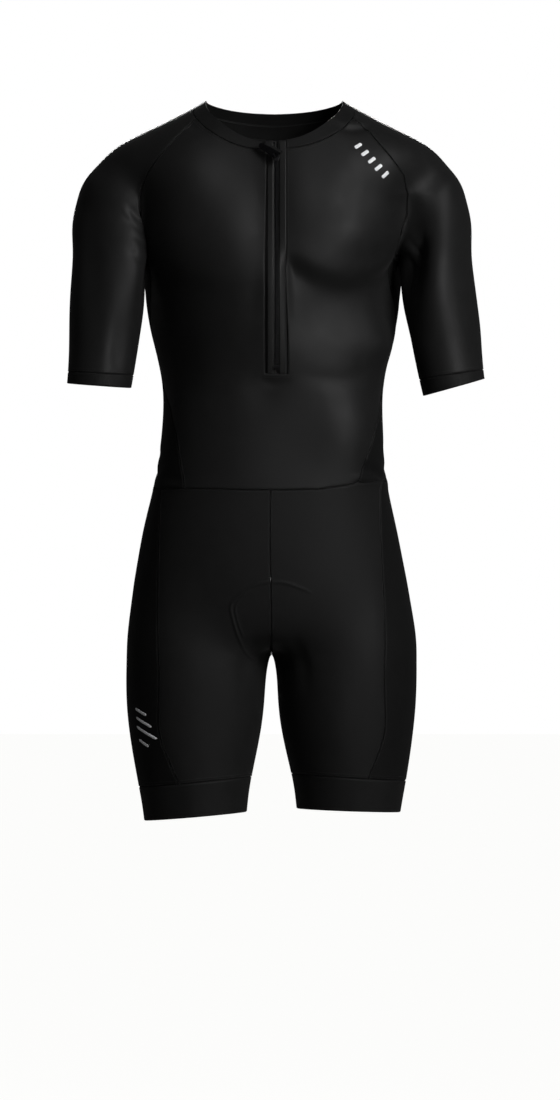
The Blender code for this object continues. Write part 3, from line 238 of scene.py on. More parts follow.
def outerSkin(name):
    shell = welded(nodes[name].data)
    rim = [f for f in shell.faces if min(e.calc_length() for e in f.edges) < form["wall"] * 1.25]
    bmesh.ops.delete(shell, geom=rim, context="FACES_ONLY")
    bmesh.ops.delete(shell, geom=[e for e in shell.edges if not e.link_faces], context="EDGES")
    skins = []
    waiting = set(shell.faces)
    while waiting:
        stack = [waiting.pop()]
        skin = list(stack)
        while stack:
            near = {g for e in stack.pop().edges for g in e.link_faces} & waiting
            waiting -= near
            stack += near
            skin += near
        skins.append(skin)
    skins.sort(key=lambda skin: sum(f.calc_area() for f in skin))
    bmesh.ops.delete(shell, geom=[f for skin in skins[:-1] for f in skin], context="FACES")
    squared(shell)
    shell.verts.index_update()
    points = [v.co.copy() for v in shell.verts]
    faces = [[v.index for v in f.verts] for f in shell.faces]
    shell.free()
    return points, faces


def slotStrip(cage):
    # two columns of faces across the front's slot, from its foot to the neck's edge
    low, high = zipSlot["middle"] - zipSlot["half"], zipSlot["middle"] + zipSlot["half"]
    edge = [v for v in cage.verts
            if v.is_boundary and low < v.co.x < high and v.co.y < 0 and v.co.z > zipSlot["foot"]]
    right = sorted([v for v in edge if v.co.x < zipSlot["middle"] - zipSlot["footHalf"]], key=lambda v: v.co.z)
    left = sorted([v for v in edge if v.co.x > zipSlot["middle"] + zipSlot["footHalf"]], key=lambda v: v.co.z)
    middle = [v for v in edge if abs(v.co.x - zipSlot["middle"]) < zipSlot["footHalf"]][:1]
    print("slot", len(right), len(left))
    for a, b in zip(right[1:], left[1:]):
        middle.append(cage.verts.new((a.co + b.co) / 2 + Vector((0, -zipSlot["rise"], 0))))
    for i in range(len(middle) - 1):
        for first, second in ((right, middle), (middle, left)):
            face = cage.faces.new((first[i], second[i], second[i + 1], first[i + 1]))
            face.material_index = slotNumber


def buildCage():
    cage = bmesh.new()
    for number, name in enumerate(names):
        points, faces = outerSkin(name)
        made = [cage.verts.new(p) for p in points]
        for face in faces:
            cage.faces.new([made[i] for i in face]).material_index = number
    bmesh.ops.remove_doubles(cage, verts=cage.verts, dist=form["weld"])
    slotStrip(cage)
    bmesh.ops.recalc_face_normals(cage, faces=cage.faces)
    return asMesh("cage", cage)


def readOut(items, field, kind, size=1):
    values = np.zeros(len(items) * size, kind)
    items.foreach_get(field, values)
    return values


def subdivided(mesh):
    # the finer cloth's points, normals, faces and the panel of each face
    cage = placed("cage", mesh)
    for i in range(slotNumber + 1):
        mesh.materials.append(bpy.data.materials.new("cage%d" % i))
    finer = cage.modifiers.new("finer", "SUBSURF")
    finer.levels = finer.render_levels = form["levels"]
    finer.boundary_smooth = "PRESERVE_CORNERS"
    relax = cage.modifiers.new("relax", "SMOOTH")
    relax.iterations = form["relax"]
    done = applied(cage).data
    bpy.data.objects.remove(cage)
    normals = readOut(done.vertex_normals, "vector", np.float32, 3).reshape(-1, 3).astype(float)
    quads = readOut(done.loops, "vertex_index", np.int32).reshape(-1, 4)
    panels = readOut(done.polygons, "material_index", np.int32)
    return readOut(done.vertices, "co", float, 3).reshape(-1, 3), unit(normals), quads, panels


points, normals, quads, panelOf = subdivided(buildCage())
print("cloth", len(points), len(quads))
if (normals * (points - form["inside"])).sum() < 0:
    normals = -normals
    quads = quads[:, ::-1]

# body forms under the cloth in each view, in millimetres: across, up, half width, half height, height of the form
swells = {
    "front": [
        (-152, -160, 72, 66, 12.5), (-106, -89, 37, 57, 6.9), (146, -118, 22, 60, 5.6), (108, -168, 44, 32, 8.0),
        (-171, -208, 16, 46, 7.0), (11, -157, 69, 76, -9.0), (-9, -140, 33, 66, -9.0), (137, -309, 39, 26, 7.0),
        (101, -416, 38, 56, 12.0), (-41, -270, 38, 49, 2.4), (-226, -206, 20, 77, -5.5), (-192, -317, 11, 41, -3.5),
        (214, -196, 18, 57, 4.0), (-73, -419, 53, 59, 2.0), (-13, -356, 25, 24, -3.8), (-73, -768, 26, 62, -2.4),
        (78, -784, 27, 69, 4.3), (-68, -559, 49, 41, 1.1), (72, -557, 48, 42, -0.9), (58, -107, 34, 46, -3.4),
        (-45, -99, 49, 50, -8.0), (-111, -331, 25, 42, -3.0), (134, -300, 18, 46, 5.0), (200, -101, 19, 38, -6.1),
        (253, -286, 26, 75, -3.2), (-178, -148, 46, 24, -2.0), (-221, -295, 29, 62, -2.0), (198, -225, 18, 64, 5.0),
        (-39, -651, 51, 48, -1.1), (-82, -664, 28, 55, -1.5), (19, -432, 50, 86, -3.5), (60, -272, 45, 41, -9.0),
        (-96, -251, 38, 17, 0.5), (-159, -201, 11, 69, -7.4)],
    "back": [
        (-78, -160, 48, 58, 4.0), (80, -164, 50, 54, 4.4), (-66, -590, 54, 52, 4.0), (68, -592, 56, 50, 4.2),
        (-58, -410, 34, 60, 1.6), (60, -404, 36, 56, 1.4), (-96, -770, 30, 58, 2.4), (98, -764, 32, 62, 2.4)],
    "left": [
        (4, -150, 36, 40, 3.0), (-6, -300, 26, 50, 1.6)],
    "right": [
        (4, -150, 36, 40, 3.0), (-4, -306, 26, 46, 1.8)],
}
# creases: line, half width, depth (below 0 is a ridge)
creases = {
    "front": [
        ([(38, -346), (84, -352), (126, -341)], 11, 1.8), ([(-14, -353), (3, -357), (22, -353)], 5, 1.6),
        ([(-108, -378), (-66, -350), (-36, -316)], 20, 1.8), ([(172, -118), (173, -165), (170, -205)], 21, 8.0),
        ([(-181, -134), (-170, -160)], 4.5, 1.8), ([(-184, -150), (-163, -180)], 4.5, 1.6),
        ([(-179, -172), (-162, -198)], 4.5, 1.6), ([(-183, -192), (-167, -216)], 4.5, 1.7),
        ([(-186, -141), (-172, -168)], 3.5, -0.8), ([(164, -172), (178, -196), (180, -214)], 5, 1.6),
        ([(156, -196), (172, -216)], 4, 1.2), ([(78, -33), (99, -39), (128, -33)], 5, 2.6),
        ([(84, -28), (104, -32), (124, -27)], 4, -1.0), ([(-112, -34), (-92, -40), (-76, -37)], 5, 1.2),
        ([(110, -459), (128, -466), (149, -477)], 5, 6.0), ([(98, -473), (124, -476), (147, -481)], 4, -3.4),
        ([(-138, -470), (-124, -474), (-108, -473)], 5, 1.4), ([(-136, -481), (-118, -482)], 4, -0.9),
        ([(-22, -672), (-34, -708), (-38, -742)], 7, 1.4), ([(24, -668), (38, -704), (40, -736)], 8, 1.8),
        ([(-10, -688), (-20, -712)], 4, 1.0), ([(12, -690), (22, -716)], 4, 1.2)],
    "back": [
        ([(0, -70), (2, -200), (-2, -330), (0, -440)], 17, 3.6), ([(-120, -196), (-90, -226), (-50, -236)], 14, 1.8),
        ([(124, -192), (94, -222), (58, -238)], 13, 2.0),
        ([(-72, -392), (-30, -408), (24, -402), (60, -410)], 7, 1.3), ([(-54, -424), (8, -432), (74, -420)], 6, 1.7),
        ([(-88, -452), (-40, -462), (10, -458)], 7, 1.1), ([(150, -160), (166, -192), (168, -216)], 5, 1.8),
        ([(-152, -158), (-168, -188), (-172, -220)], 5, 1.6), ([(-140, -182), (-160, -212)], 4, 1.3),
        ([(-118, -656), (-76, -668), (-34, -660)], 9, 2.4), ([(118, -658), (80, -670), (36, -662)], 9, 2.2),
        ([(0, -540), (0, -600), (0, -650)], 13, 2.8), ([(-44, -676), (-52, -706)], 6, 1.4),
        ([(46, -680), (56, -704)], 6, 1.2), ([(-64, -36), (-20, -48), (30, -46), (66, -38)], 7, 1.2)],
    "left": [
        ([(-44, -452), (-14, -462), (24, -458)], 5, 1.5), ([(-30, -474), (6, -480), (42, -472)], 5, -1.0),
        ([(-20, -434), (18, -440)], 6, 1.0), ([(20, -238), (30, -262)], 6, 1.0),
        ([(-34, -540), (-40, -600)], 12, 1.2)],
    "right": [
        ([(-40, -458), (-6, -466), (30, -460)], 5, 1.4), ([(-28, -438), (12, -444), (40, -438)], 6, 1.1),
        ([(24, -232), (34, -260)], 6, 1.2), ([(-32, -548), (-38, -596)], 12, 1.1)],
}
# shelves, where the cloth steps in below a line and comes out again: line, height of the step, depth, reach
shelves = {
    "front": [
        ([(20, -200), (36, -210), (60, -223), (96, -231), (134, -221), (162, -198), (186, -176)], 12, 14.0, 60),
        ([(-160, -206), (-140, -214), (-104, -228), (-54, -236), (-18, -228)], 15, 4.6, 66)],
    "back": [
        ([(-118, -212), (-84, -232), (-44, -238)], 14, 2.4, 60),
        ([(46, -236), (86, -230), (120, -208)], 14, 2.6, 60)],
}
shelfEnds = {"run": 26, "least": 0.6}  # millimetres over which a shelf fades at its ends, and its share there
# the pad's edge, as it shows through the cloth
padEdge = [(50, -618), (40, -612), (16, -603.5), (-1.5, -602.5), (-21.6, -605.8), (-44, -621), (-52.3, -633),
           (-48, -655), (-42, -673), (-33, -691), (-19, -703)]
padEdgeInner = [(-24, -611), (-38, -621), (-46.5, -634), (-42.5, -655), (-36, -672)]
ridges = {"front": [(padEdge, 1.7, -1.0), (padEdgeInner, 1.5, -0.6)]}
# the axis that runs across each view, and the way that it is seen from
views = {"front": (0, (0, -1, 0)), "back": (0, (0, 1, 0)), "left": (1, (1, 0, 0)), "right": (1, (-1, 0, 0))}
facingStart = {"form": 0.05, "run": 0.35, "fine": 0.2}  # how squarely cloth faces a view before it takes its forms


def seenFrom(view, places, facing):
    # places as a view shows them, in millimetres, and their share of its forms, from 0 to 1
    across, way = views[view]
    squarely = facing @ np.array(way, float) - facingStart["form"]
    return places[:, [across, 2]] / millimetre, np.clip(squarely / facingStart["run"], 0, 1)


def lineProfile(flat, line):
    # nearest distance to a line and how far along it that is, from 0 to 1
    line = np.array(line, float)
    steps = np.linalg.norm(np.diff(line, axis=0), axis=1)
    run = np.concatenate([[0], np.cumsum(steps)])
    best, along = np.full(len(flat), 1e9), np.zeros(len(flat))
    for a, b, start, step in zip(line[:-1], line[1:], run, steps):
        share = np.clip(((flat - a) @ (b - a)) / step**2, 0, 1)
        away = np.linalg.norm(flat - a - share[:, None] * (b - a), axis=1)
        along = np.where(away < best, (start + share * step) / run[-1], along)
        best = np.minimum(best, away)
    return best, along


def smoothLine(line, count=9):
    line = np.array(line, float)
    if len(line) < 3:
        return line
    at = np.linspace(0, len(line) - 1, count * (len(line) - 1) + 1)
    base = np.clip(at.astype(int), 0, len(line) - 2)
    t = (at - base)[:, None]
    padded = np.concatenate([[2 * line[0] - line[1]], line, [2 * line[-1] - line[-2]]])
    a, b, c, d = (padded[base + i] for i in range(4))
    return 0.5 * (2 * b + (c - a) * t + (2 * a - 5 * b + 4 * c - d) * t**2 + (3 * b - a - 3 * c + d) * t**3)


def creaseTaper(along):
    return np.sin(np.pi * np.clip(along * 0.9 + 0.05, 0, 1)) ** 0.7


def ridgeTaper(along):
    return np.clip(np.minimum(along, 1 - along) * 12, 0, 1)


def lineDepth(places, facing, table, taper):
    # how far the lines of a table press the cloth in, in millimetres
    total = np.zeros(len(places))
    for view, rows in table.items():
        flat, seen = seenFrom(view, places, facing)
        for line, width, depth in rows:
            best, along = lineProfile(flat, smoothLine(line))
            total += seen * depth * taper(along) * np.exp(-(best / width) ** 2)
    return total


def shaped(places, facing):
    # places moved along their normals by the body forms, the shelves and the creases
    offset = -lineDepth(places, facing, creases, creaseTaper)
    for view, rows in swells.items():
        flat, seen = seenFrom(view, places, facing)
        for across, up, wide, tall, height in rows:
            offset += seen * height * np.exp(-(((flat - (across, up)) / (wide, tall)) ** 2).sum(1))
    for view, rows in shelves.items():
        flat, seen = seenFrom(view, places, facing)
        for line, step, depth, reach in rows:
            edge = smoothLine(line)
            below = np.interp(flat[:, 0], edge[:, 0], edge[:, 1]) - flat[:, 1]
            inside = np.minimum(flat[:, 0] - edge[0, 0], edge[-1, 0] - flat[:, 0])
            ends = np.clip(inside / shelfEnds["run"] + shelfEnds["least"], 0, 1)
            ends = ends * ends * (3 - 2 * ends)
            fade = np.exp(-(np.maximum(below, 0) / reach) ** 2)
            offset -= seen * depth * ends * fade * (1 + np.tanh(below / step)) / 2
    return places + facing * (offset * millimetre)[:, None]


surface = shaped(points, normals)
tree = BVHTree.FromPolygons([Vector(p) for p in surface], quads.tolist())
print("surface shaped")

# wall, turned edge, its greatest share of a face, depth of the seam, and millimetres of fine faces beside a ridge
shell = {"thickness": 0.0009, "edge": 0.0018, "share": 0.45, "groove": 0.0011, "fineReach": 7.0}


def finish(piece, body="suit", replaced=()):
    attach(piece, body)
    if replaced:
        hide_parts(*replaced)


def thickened(piece, thickness, offset=-1.0):
    wall = piece.modifiers.new("wall", "SOLIDIFY")
    wall.thickness, wall.offset = thickness, offset
    return applied(piece)


def refine(cloth):
    # halves the faces beside the fine ridges
    for view, rows in ridges.items():
        across, way = views[view]
        for line, _, _ in rows:
            flat = np.array([(v.co[across], v.co[2]) for v in cloth.verts]) / millimetre
            facing = np.array([v.normal.dot(Vector(way)) > facingStart["fine"] for v in cloth.verts])
            near = set(np.nonzero((lineProfile(flat, smoothLine(line))[0] < shell["fineReach"]) & facing)[0])
            edges = [e for e in cloth.edges if e.verts[0].index in near and e.verts[1].index in near]
            bmesh.ops.subdivide_edges(cloth, edges=edges, cuts=1, use_grid_fill=True)
            cloth.verts.index_update()


def raiseRidges(cloth):
    cloth.normal_update()
    refine(cloth)
    cloth.normal_update()
    places = np.array([v.co for v in cloth.verts])
    facing = np.array([v.normal for v in cloth.verts])
    raised = places - facing * (lineDepth(places, facing, ridges, ridgeTaper) * millimetre)[:, None]
    for vert, place in zip(cloth.verts, raised):
        if not vert.is_boundary:
            vert.co = place


def clothPiece(number, name):
    used, faces = np.unique(quads[panelOf == number], return_inverse=True)
    cloth = bmesh.new()
    made = [cloth.verts.new(p) for p in surface[used]]
    for face in faces.reshape(-1, 4):
        cloth.faces.new([made[i] for i in face])
    cloth.verts.index_update()
    if name.startswith("leg_front"):
        raiseRidges(cloth)
    cloth.normal_update()
    border = min(shell["edge"], shell["share"] * float(np.median([e.calc_length() for e in cloth.edges])))
    bmesh.ops.inset_region(cloth, faces=cloth.faces, thickness=border, use_boundary=True, use_even_offset=True)
    cloth.normal_update()
    for v in [v for v in cloth.verts if v.is_boundary]:
        v.co -= v.normal * shell["groove"]
    knitName, width, length, area = cloths[name]
    piece = smoothObject(name + "_cloth", asMesh(name, cloth), materials[knitName])
    thickened(piece, shell["thickness"])
    finish(piece, replaced=[name])
    print(name, "worn %.4f cut %.4f" % (sum(p.area for p in piece.data.polygons) / 2, area))


for number, name in enumerate(names):
    clothPiece(number, name)
print("cloth pieces made")


# sewing
def seamRuns():
    # chains of points where two panels meet, keyed by the panels' numbers
    touching = {}
    for quad, panel in zip(quads.tolist(), panelOf.tolist()):
        for a, b in zip(quad, quad[1:] + quad[:1]):
            touching.setdefault((a, b) if a < b else (b, a), []).append(panel)
    seams = {}
    for edge, panels in touching.items():
        if len(panels) == 2 and panels[0] != panels[1]:
            seams.setdefault(tuple(sorted(panels)), []).append(edge)
    return [(key, chain) for key, edges in seams.items() for chain in chained(edges)]


def chained(edges):
    # edges put end to end, the open chains first
    near = {}
    for a, b in edges:
        near.setdefault(a, []).append(b)
        near.setdefault(b, []).append(a)
    left = set(near)
    chains = []
    for start in sorted(near, key=lambda v: (len(near[v]) != 1, v)):
        chain, step = [], [start] if start in left else []
        while step:
            chain.append(step[0])
            left.discard(step[0])
            step = [v for v in near[chain[-1]] if v in left]
        if len(chain) > 2 and chain[0] in near[chain[-1]]:
            chain.append(start)
        chains.append(chain)
    return [c for c in chains if len(c) > 4]


def evenly(line, step):
    # a line's points at even steps, and the direction along it
    run = np.concatenate([[0], np.cumsum(np.linalg.norm(np.diff(line, axis=0), axis=1))])
    at = np.linspace(0, run[-1], max(int(run[-1] / step), 2))
    spots = np.stack([np.interp(at, run, line[:, i]) for i in range(3)], -1)
    return spots, unit(np.gradient(spots, axis=0))


def onCloth(spots, lift):
    # the nearest points of the cloth, lifted off it, with its normals
    found = [tree.find_nearest(Vector(p)) for p in spots.reshape(-1, 3)]
    place = np.array([f[0] for f in found])
    way = np.array([f[1] for f in found])
    return (place + way * lift).reshape(spots.shape), way.reshape(spots.shape)


def tubes(paths, ups, radius, sides=4, tip=0.6):
    # closed tubes along many paths of equal length, with the way up at each point
    paths = np.array(paths)
    along = unit(np.gradient(paths, axis=1))
    side = unit(np.cross(along, np.array(ups)))
    up = np.cross(side, along)
    turn = np.arange(sides) * 2 * np.pi / sides + np.pi / sides
    size = np.full(paths.shape[1], radius)
    size[[0, -1]] *= tip
    ring = side[:, :, None] * np.cos(turn)[:, None] + up[:, :, None] * np.sin(turn)[:, None]
    places = paths[:, :, None] + ring * size[:, None, None]
    count, length = paths.shape[:2]
    base = (np.arange(count)[:, None, None] * length + np.arange(length - 1)[:, None]) * sides
    here, after = np.arange(sides), (np.arange(sides) + 1) % sides
    walls = np.stack([base + here, base + after, base + sides + after, base + sides + here], -1).reshape(-1, 4)
    starts = (np.arange(count) * length * sides)[:, None] + here[::-1]
    ends = (np.arange(count) * length * sides + (length - 1) * sides)[:, None] + here
    return places.reshape(-1, 3), walls[:, ::-1].tolist() + starts[:, ::-1].tolist() + ends[:, ::-1].tolist()


def joined(name, parts, material):
    places, faces, base = [], [], 0
    for more, corners in parts:
        places.append(more)
        faces += [[i + base for i in c] for c in corners]
        base += len(more)
    return meshObject(name, np.concatenate(places), faces, material)


# sizes of a stitch, rows of a flat seam and of a cover seam, and the spacing that finds a band's side of its seam
stitch = {"radius": 0.00016, "length": 0.0022, "pitch": 0.0030, "lift": 0.00008, "dip": 0.0003, "zigzag": 0.0014,
          "flat": 0.0022, "flatHalf": 0.0019, "cover": (0.0020, 0.0048), "check": 0.01}


def seamPoints(line, step):
    # even points of a seam, the ways along and across it
    spots, along = evenly(line, step)
    return spots, along, unit(np.cross(along, onCloth(spots, 0)[1]))


def dashes(line, away, pitch=stitch["pitch"], length=stitch["length"], lift=stitch["lift"]):
    # running stitches beside a seam, at a distance to one side of it, their ends sunk in the cloth
    spots, along, side = seamPoints(line, pitch)
    shares = np.array([-1, -0.75, 0.75, 1])[None, :, None]
    path, way = onCloth(spots[:, None] + side[:, None] * away + along[:, None] * length / 2 * shares, lift)
    path[:, [0, -1]] -= way[:, [0, -1]] * stitch["dip"]
    return tubes(path, way, stitch["radius"])


def zigzag(line, away):
    spots, _, side = seamPoints(line, stitch["zigzag"])
    swing = np.where(np.arange(len(spots)) % 2, away, -away)[:, None]
    path, way = onCloth(spots + side * swing, stitch["lift"])
    return tubes([path], [way], stitch["radius"])


def sewSeams():
    parts = {"top": [], "shorts": [], "bands": []}
    for (first, second), chain in seamRuns():
        if second == slotNumber:
            continue
        line = surface[chain]
        bands = [cloths[names[number]][0] == "band_knit" for number in (first, second)]
        if any(bands):
            # a band's rows lie on the panel that it is sewn to
            panel = first if bands[1] else second
            middle = points[np.unique(quads[panelOf == panel])].mean(0)
            spots, _, side = seamPoints(line, stitch["check"])
            sign = 1 if ((middle - spots) * side).sum() > 0 else -1
            parts["bands"] += [dashes(line, sign * away) for away in stitch["cover"]]
        else:
            group = "shorts" if "leg" in (names[first][:3], names[second][:3]) else "top"
            parts[group] += [dashes(line, stitch["flat"]), dashes(line, -stitch["flat"]),
                             zigzag(line, stitch["flatHalf"])]
    for group, made in parts.items():
        piece = joined(group + "_stitching", made, materials["thread"])
        finish(piece)
        print(group, "stitches", len(piece.data.polygons))


sewSeams()

# the zip: heights in metres, and its sizes across in millimetres from its middle line
zipShape = {"middle": 0.0045, "top": -0.0536, "foot": -0.3490, "coilTop": -0.0708, "coilFoot": -0.3325,
            "pitch": 0.00130, "coil": 0.00036, "tape": 0.0007, "rows": 120, "spread": 0.13, "spreadTeeth": 12}
# the welts stop above the box stitching, where the tape lies sunk, and their inner edges lean to the wearer's right
welt = {"foot": -0.3452, "run": 0.0014, "sunk": -1.6, "lean": 0.55, "leanAt": 4.0, "leanWidth": 1.4}
# distance to the side, height above the cloth
tapeProfile = [(0.2, -1.25), (2.2, -1.15), (3.2, -0.95), (3.8, -0.4), (4.1, 0.10), (4.6, 0.32), (5.4, 0.40),
               (7.6, 0.40), (9.8, 0.40), (10.7, 0.34), (11.2, 0.14), (11.6, -0.25), (12.0, -0.60), (12.4, -0.9),
               (12.8, -1.5), (14.6, -1.75)]
toothProfile = [(2.35, -0.75), (1.9, -0.15), (1.1, 0.06), (0.3, 0.02), (-0.35, -0.15), (-0.5, -0.5)]
ray = {"start": -0.4, "front": -0.02, "near": -0.09}  # where a ray to the front starts, and what counts as front


def frontPoint(x, z):
    hit, way, _, _ = tree.ray_cast(Vector((x, ray["start"], z)), Vector((0, 1, 0)))
    if hit is None or hit.y > ray["front"]:
        hit, way, _, _ = tree.find_nearest(Vector((x, ray["near"], z)))
    return hit, way


def frontFrame(x, z, reach=0.005):
    # a point on the front with its directions: up along the cloth, outwards
    low, high = frontPoint(x, z - reach)[0], frontPoint(x, z + reach)[0]
    up = (high - low).normalized()
    return frontPoint(x, z)[0], up, Vector((1, 0, 0)).cross(up).normalized()


def gridFaces(rows, columns):
    return [[r * columns + c, r * columns + c + 1, (r + 1) * columns + c + 1, (r + 1) * columns + c]
            for r in range(rows - 1) for c in range(columns - 1)]


def gridObject(name, grid, material, thickness):
    piece = meshObject(name, grid.reshape(-1, 3), gridFaces(*grid.shape[:2]), material)
    if piece.data.polygons[0].normal.y > 0:
        piece.data.flip_normals()
    return thickened(piece, thickness)


def tapes():
    for side, label in ((1, "left"), (-1, "right")):
        grid = np.zeros((zipShape["rows"], len(tapeProfile), 3))
        for r, z in enumerate(np.linspace(zipShape["top"], zipShape["foot"], zipShape["rows"])):
            raised = np.clip((z - welt["foot"]) / welt["run"], 0, 1)
            for c, (away, lift) in enumerate(tapeProfile):
                away += welt["lean"] * -side * math.exp(-((away - welt["leanAt"]) / welt["leanWidth"]) ** 2)
                spot, way = frontPoint(zipShape["middle"] + side * away * millimetre, z)
                lift = welt["sunk"] + (lift - welt["sunk"]) * raised
                grid[r, c] = spot + way * lift * millimetre
        tape = gridObject("zip_tape_" + label + "_cloth", grid, materials["zip_tape"], zipShape["tape"])
        finish(tape, replaced=["zip_tape_" + label])
        print("tape", sum(p.area for p in tape.data.polygons) / 2)


def coil():
    parts = []
    for side, start in ((1, 0.0), (-1, 0.5)):
        count = int((zipShape["coilTop"] - zipShape["coilFoot"]) / zipShape["pitch"])
        teeth, ups = [], []
        for i in range(-zipShape["spreadTeeth"], count):
            z = zipShape["coilTop"] - (i + start) * zipShape["pitch"]
            spot, _, out = frontFrame(zipShape["middle"], z)
            across = Vector((side, 0, 0))
            apart = max(0, -i) * zipShape["spread"]  # the rows part above the slider
            teeth.append([spot + across * (u + apart) * millimetre + out * h * millimetre for u, h in toothProfile])
            ups.append([out] * len(toothProfile))
        parts.append(tubes(teeth, ups, zipShape["coil"], sides=6, tip=0.8))
    finish(joined("zip_coil", parts, materials["coil"]), replaced=["zip_chain"])


def solidOf(name, outline, thickness, place, material, bevel):
    # a flat outline drawn in a frame and given a thickness, with rounded edges
    mesh = bmesh.new()
    face = mesh.faces.new([mesh.verts.new((x, y, 0)) for x, y in outline])
    raised = bmesh.ops.extrude_face_region(mesh, geom=[face])
    for v in [g for g in raised["geom"] if isinstance(g, bmesh.types.BMVert)]:
        v.co.z += thickness
    bmesh.ops.recalc_face_normals(mesh, faces=mesh.faces)
    mesh.transform(place)
    return rounded(smoothObject(name, asMesh(name, mesh), material), bevel)


def rounded(piece, width):
    edge = piece.modifiers.new("edge", "BEVEL")
    edge.width, edge.segments, edge.limit_method, edge.angle_limit = width, 3, "ANGLE", math.radians(50)
    even = piece.modifiers.new("even", "WEIGHTED_NORMAL")
    even.keep_sharp = True
    return applied(piece)


def sliderPlace():
    # the slider's frame, read from the face of its plate and from the pull's hinge
    flat = {}
    for face in nodes["zip_slider"].data.polygons:
        if face.normal.y < -0.7:
            key = tuple(round(c, 2) for c in face.normal)
            flat[key] = flat.get(key, 0) + face.area
    out = Vector(max(flat, key=flat.get)).normalized()
    side = Vector((0, 0, 1)).cross(out).normalized()
    up = out.cross(side)
    hinge = Vector(frame["joints"][0]["pos_m"])
    turn = Matrix((side, up, out)).transposed().to_4x4()
    return Matrix.Translation(hinge) @ turn


# slider, in millimetres in its own frame: half outline of the plate, and a wing's line beside it
sliderShape = {"middle": (2.0, 0.0, -2.6), "plate": 1.1, "edge": 0.3, "bridge": 2.03, "bridgeBar": 0.55,
               "bridgeTurn": 0.42, "bridgeFoot": -1.1, "wingBar": 0.75, "wingDrop": -0.3}
plateHalf = [(1.6, 5.1), (3.1, 4.6), (3.75, 3.3), (3.7, 1.2), (3.2, -1.4), (3.0, -3.8), (2.5, -4.8), (1.2, -5.15)]
wingLine = [(3.55, 3.4), (3.55, 0.6), (2.95, -2.0), (2.85, -4.0)]


def slider():
    place = sliderPlace()
    turn = place.to_3x3()
    plate = place @ Matrix.Translation(Vector(sliderShape["middle"]) * millimetre)
    outline = plateHalf + [(-x, y) for x, y in plateHalf[::-1]]
    body = solidOf("zip_slider_plate", [(x * millimetre, y * millimetre) for x, y in outline[::-1]],
                   sliderShape["plate"] * millimetre, plate, materials["metal"], sliderShape["edge"] * millimetre)
    wings = [[plate @ (Vector((side * x, y, sliderShape["wingDrop"])) * millimetre) for x, y in wingLine]
             for side in (1, -1)]
    ups = [[turn @ Vector((0, 0, 1))] * len(wingLine)] * 2
    flanks = joined("zip_slider_wings", [tubes(wings, ups, sliderShape["wingBar"] * millimetre, sides=8, tip=0.5)],
                    materials["metal"])
    arch = []
    for a in np.linspace(-sliderShape["bridgeTurn"], math.pi + sliderShape["bridgeTurn"], 15):
        y = math.cos(a) * sliderShape["bridge"]
        z = max(math.sin(a) * sliderShape["bridge"], sliderShape["bridgeFoot"])
        arch.append(place @ (Vector((0, y, z)) * millimetre))
    across = [turn @ Vector((1, 0, 0))] * len(arch)
    ring = joined("zip_slider_bridge", [tubes([arch], [across], sliderShape["bridgeBar"] * millimetre, sides=10,
                                              tip=1.0)], materials["metal"])
    finish(flanks)
    finish(ring)
    finish(body, replaced=["zip_slider"])


# pull: its turn across the zip in degrees, and in millimetres the eye's middle, the grip's bars and their sizes
pullShape = {"skew": 145, "eye": 3.9, "first": 9.5, "step": 2.1, "bars": 5, "bar": 0.42, "reach": 2.7,
             "narrower": 0.12, "face": 0.78, "edge": 0.4}


def pull():
    place = sliderPlace()
    tab = placed("zip_pull_tab", nodes["zip_pull"].data.copy())
    tab.data.materials.clear()
    tab.data.materials.append(materials["pull"])
    weld = welded(tab.data)
    bmesh.ops.dissolve_limit(weld, angle_limit=math.radians(2), verts=weld.verts, edges=weld.edges)
    weld.to_mesh(tab.data)
    weld.free()
    tab.data.shade_smooth()
    rounded(tab, pullShape["edge"] * millimetre)
    finish(tab, body="pull", replaced=["zip_pull"])
    skew = math.radians(pullShape["skew"])
    along = Vector((math.cos(skew), math.sin(skew), 0))
    across = Vector((-along.y, along.x, 0))
    bars, ups = [], []
    for face in (pullShape["face"], -pullShape["face"]):
        for i in range(pullShape["bars"]):
            spot = Vector((0, pullShape["eye"], face)) + along * (pullShape["first"] + i * pullShape["step"])
            reach = pullShape["reach"] - pullShape["narrower"] * i
            bars.append([place @ ((spot + across * s * reach) * millimetre) for s in (-1, -0.85, 0, 0.85, 1)])
            ups.append([place.to_3x3() @ Vector((0, 0, 1))] * 5)
    grip = joined("zip_pull_grip", [tubes(bars, ups, pullShape["bar"] * millimetre, sides=8, tip=0.5)],
                  materials["pull"])
    finish(grip, body="pull")


# the guard over the zip's top end, in millimetres: its line in front, its section, its lift and its cloth
garageShape = {"line": [(-11.6, -55.8), (-4, -60.6), (5.0, -66.2), (11.6, -67.9)], "step": 0.8, "lift": 0.55,
               "rise": 0.35, "ends": 3, "cloth": 0.6}
garageProfile = [(-2.15, 0.15), (-1.9, 0.55), (-1.4, 0.72), (0, 0.78), (1.4, 0.72), (1.9, 0.55), (2.15, 0.15)]


def garage():
    line = np.array([(x, 0, z) for x, z in smoothLine(garageShape["line"])]) * millimetre
    spots, along = evenly(line, garageShape["step"] * millimetre)
    across = np.stack([-along[:, 2], along[:, 1], along[:, 0]], -1)
    number = np.arange(len(spots))
    ends = np.clip(np.minimum(number, number[::-1]) / garageShape["ends"], 0, 1)
    grid = np.zeros((len(spots), len(garageProfile), 3))
    for r, (spot, way) in enumerate(zip(spots, across)):
        for c, (u, h) in enumerate(garageProfile):
            at = spot + way * u * millimetre
            hit, out = frontPoint(at[0], at[2])
            lift = garageShape["lift"] + (h + garageShape["rise"]) * ends[r]
            grid[r, c] = hit + out * lift * millimetre
    band = gridObject("zip_garage_cloth", grid, materials["band_knit"], garageShape["cloth"] * millimetre)
    finish(band, replaced=["zip_garage"])
    print("garage", sum(p.area for p in band.data.polygons) / 2)


